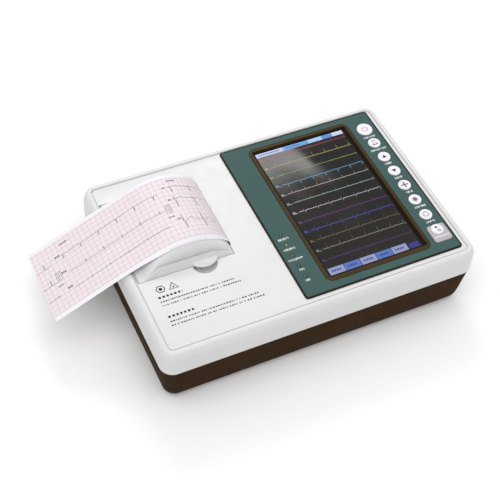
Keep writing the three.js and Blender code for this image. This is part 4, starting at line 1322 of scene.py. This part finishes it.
def print_key():
    """The grey key at the front, with a ridge across it and a round white button face."""
    box = print_key_box()
    x0, x1, y0, _ = box
    x = (x0 + x1) / 2
    cap = soft_slab("cap_print", box, 68.5, PRINT_KEY_TOP, 3, 0.6)
    carve(cap, [slab("groove", x0 - 1, x1 + 1, y0 + 6.1, y0 + 6.6, PRINT_KEY_TOP - 0.15, 74)])
    finish(cap, KEY_GREY, "key_print", ["key_print"], 40)
    ridge = soft_slab("print_ridge", (x0 + 1.2, x1 - 1.2, y0 + 4.9, y0 + 6.0), 73.2, 73.55, 0.5, 0.2)
    finish(ridge, KEY_WHITE, "key_print")
    disc = turned("print_disc", x, PRINT_DISC_Y, PRINT_DISC, 64)
    finish(disc, KEY_WHITE, "key_print", angle=40)
    sign = Print(lambda u, v: (x + u, PRINT_DISC_Y + v, PRINT_DISC[-1][1] + 0.04))
    sign.disc(-0.4, 2.2, 1.15)
    sign.line(PRINT_SIGN, 0.5, closed=True)
    sign.done("sign_print", PRINT_BLACK, "key_print")


def led_material(name, colour):
    n = Nodes(name)
    base = n.shades(n.noise(300), colour, 0.9, 1.1)
    return n.set(Base_Color=base, Roughness=0.12, Coat_Weight=1.0, Coat_Roughness=0.05, Subsurface_Weight=0.1)


def lights():
    green = led_material("led_green", srgb(20, 58, 34))
    amber = led_material("led_amber", srgb(120, 112, 30))
    olive = led_material("led_olive", srgb(60, 84, 34))
    for (name, x, y), look in zip(led_places(), (green, amber, olive, green, green)):
        lens = turned(f"lens_{name}", x, y, LENS_PROFILE, 40)
        finish(lens, look, "case", [f"led_{name}"], 60)


# ---------- printed marks ----------
KEY_CAPTIONS = (13, 17.5, 8, 8.5, 6.5, 11, 9.5)
LED_CAPTIONS = (10.5, 11.5, 13.5, 4.6, 4.4)
STOP_SIGN = (-130.7, -33.6)
STOP_SIGN_RADII = (4.1, 3.9)
TRIANGLE_SIGN = [(-123.4, -36.9), (-114.8, -36.9), (-119.1, -30.2)]

# rows of dashes on the cover: x from and to, y
HEADINGS = ((-136, -113.6, -43.2), (-135.7, -111.9, -64.9))
LINES = (
    ((-135.8, -65.9, -47.6), (-136, -61.7, -51.8)),
    ((-135.7, -52.5, -69.6), (-136.2, -48.2, -73.8)),
)


def labels():
    """Short plain bars where the panel's captions are."""
    rng = random.Random(7)
    marks = Print(flat(FILM_TOP + 0.03))

    def caption(x, y, width, height):
        u = x - width / 2
        while u < x + width / 2 - 0.4:
            stroke = rng.choice((0.4, 0.4, 1.0))
            low = rng.choice((0, 0, 0.35)) * height
            marks.bar(u, u + stroke, y - height / 2 + low, y + height / 2)
            u += stroke + 0.6

    for (_, x, y, r), width in zip(key_places(), KEY_CAPTIONS):
        caption(x, y - r - 3.1, width, 2.5)
    for (_, x, y), width in zip(led_places(), LED_CAPTIONS):
        caption(x + 0.5, y - 5, width, 2.4)
    marks.done("panel_captions", PRINT_WHITE, "case")


def panel_print():
    """Generic marks where the cover carries print: two plain signs and rows of short dashes."""
    rng = random.Random(11)
    marks = Print(flat(PANEL + 0.03))

    def row(x0, x1, y, height, dashes, gap, breaks):
        x = x0
        while x < x1:
            width = rng.choice(dashes)
            marks.bar(x, min(x + width, x1), y, y + height)
            x += width + gap * rng.choice(breaks)

    (x, y), (rx, ry) = STOP_SIGN, STOP_SIGN_RADII
    corners = [direction(60 * i) for i in range(6)]
    marks.line([(x + rx * c, y + ry * s) for c, s in corners], 0.8, closed=True)
    marks.disc(x, y, 1.7)
    marks.line(TRIANGLE_SIGN, 0.9, closed=True)
    marks.disc(-119.1, -35.0, 0.9)
    for heading, lines in zip(HEADINGS, LINES):
        row(*heading, 2.2, (2.0, 2.3), 1.5, (1,))
        for line in lines:
            row(*line, 1.4, (0.7, 1.1, 1.6), 0.9, (1, 1, 1, 2.2))
    marks.done("panel_marks", PRINT_BLACK, "case")


# ---------- mechanism, boards and connectors ----------
# the CAD nodes whose shapes stay
CARRIED_OVER = {
    STEEL: ["door_hinge_pin", "platen_shaft", "idler_pin", "stepper_motor", "patient_connector", "usb_port",
            *(f"case_screw_{i}" for i in range(1, 5))],
    BRASS: ["motor_pinion", "ground_post"],
    NYLON: ["platen_gear", "idler_gear"],
    RUBBER_BLACK: ["platen_rubber"],
    FRAME_GREY: ["printer_frame"],
    BLACK: ["roll_axle", "mains_inlet", "rocker_frame", "power_rocker", "fuse_holder"],
    ALUMINIUM: ["lcd_module", "head_sink"],
    CERAMIC: ["print_head"],
    CARDBOARD: ["paper_core"],
    BOARD: ["keypad_board", "led_board", "main_board", "power_board"],
    CELL_WRAP: ["battery_pack"],
}


def carry_over():
    """Materials and shading for the CAD nodes whose shapes stay."""
    for material, nodes in CARRIED_OVER.items():
        for node in nodes:
            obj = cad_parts[node]
            obj.data.materials.clear()
            obj.data.materials.append(material)
            crisp_corners(obj.data)


def crisp_corners(mesh):
    """Smooth shading with crisp corners on a CAD node's mesh, leaving its vertices alone."""
    for polygon in mesh.polygons:
        polygon.use_smooth = True
    shape = bmesh.new()
    shape.from_mesh(mesh)
    for edge in shape.edges:
        if len(edge.link_faces) != 2 or edge.calc_face_angle(0) > math.radians(35):
            mesh.edges[edge.index].use_edge_sharp = True
    shape.free()


def paper_roll():
    """The wound roll, with its turns as fine rings on the end faces."""
    n = Nodes("wound_paper")
    shift = n.node("Mapping", Vector=n.place, Location=(-SPOOL[0] * MM, 0, -SPOOL[1] * MM))
    rings = n.node("TexWave", Vector=shift.outputs["Vector"], Scale=900)
    rings.wave_type = "RINGS"
    rings.rings_direction = "Y"
    material = n.set(
        Base_Color=n.ramp(n.noise(80, 3), srgb(236, 224, 231), srgb(246, 238, 243)),
        Roughness=0.7,
        Normal=n.bump(rings.outputs["Fac"], 0.4, 0.00005),
    )
    roll = rod_y("wound_roll", SPOOL, SPOOL_R, ROLL[2], ROLL[3], 128)
    carve(roll, [rod_y("bore", SPOOL, 8.6, -30, 90, 96)])
    finish(roll, material, "roll", ["paper_roll"])


camera()
studio()
for build in (top_cover, bottom_case, battery_door, feet, printer_door, paper, fascia, bezel, display, keys,
              print_key, lights, labels, panel_print, recording, paper_roll, carry_over):
    build()
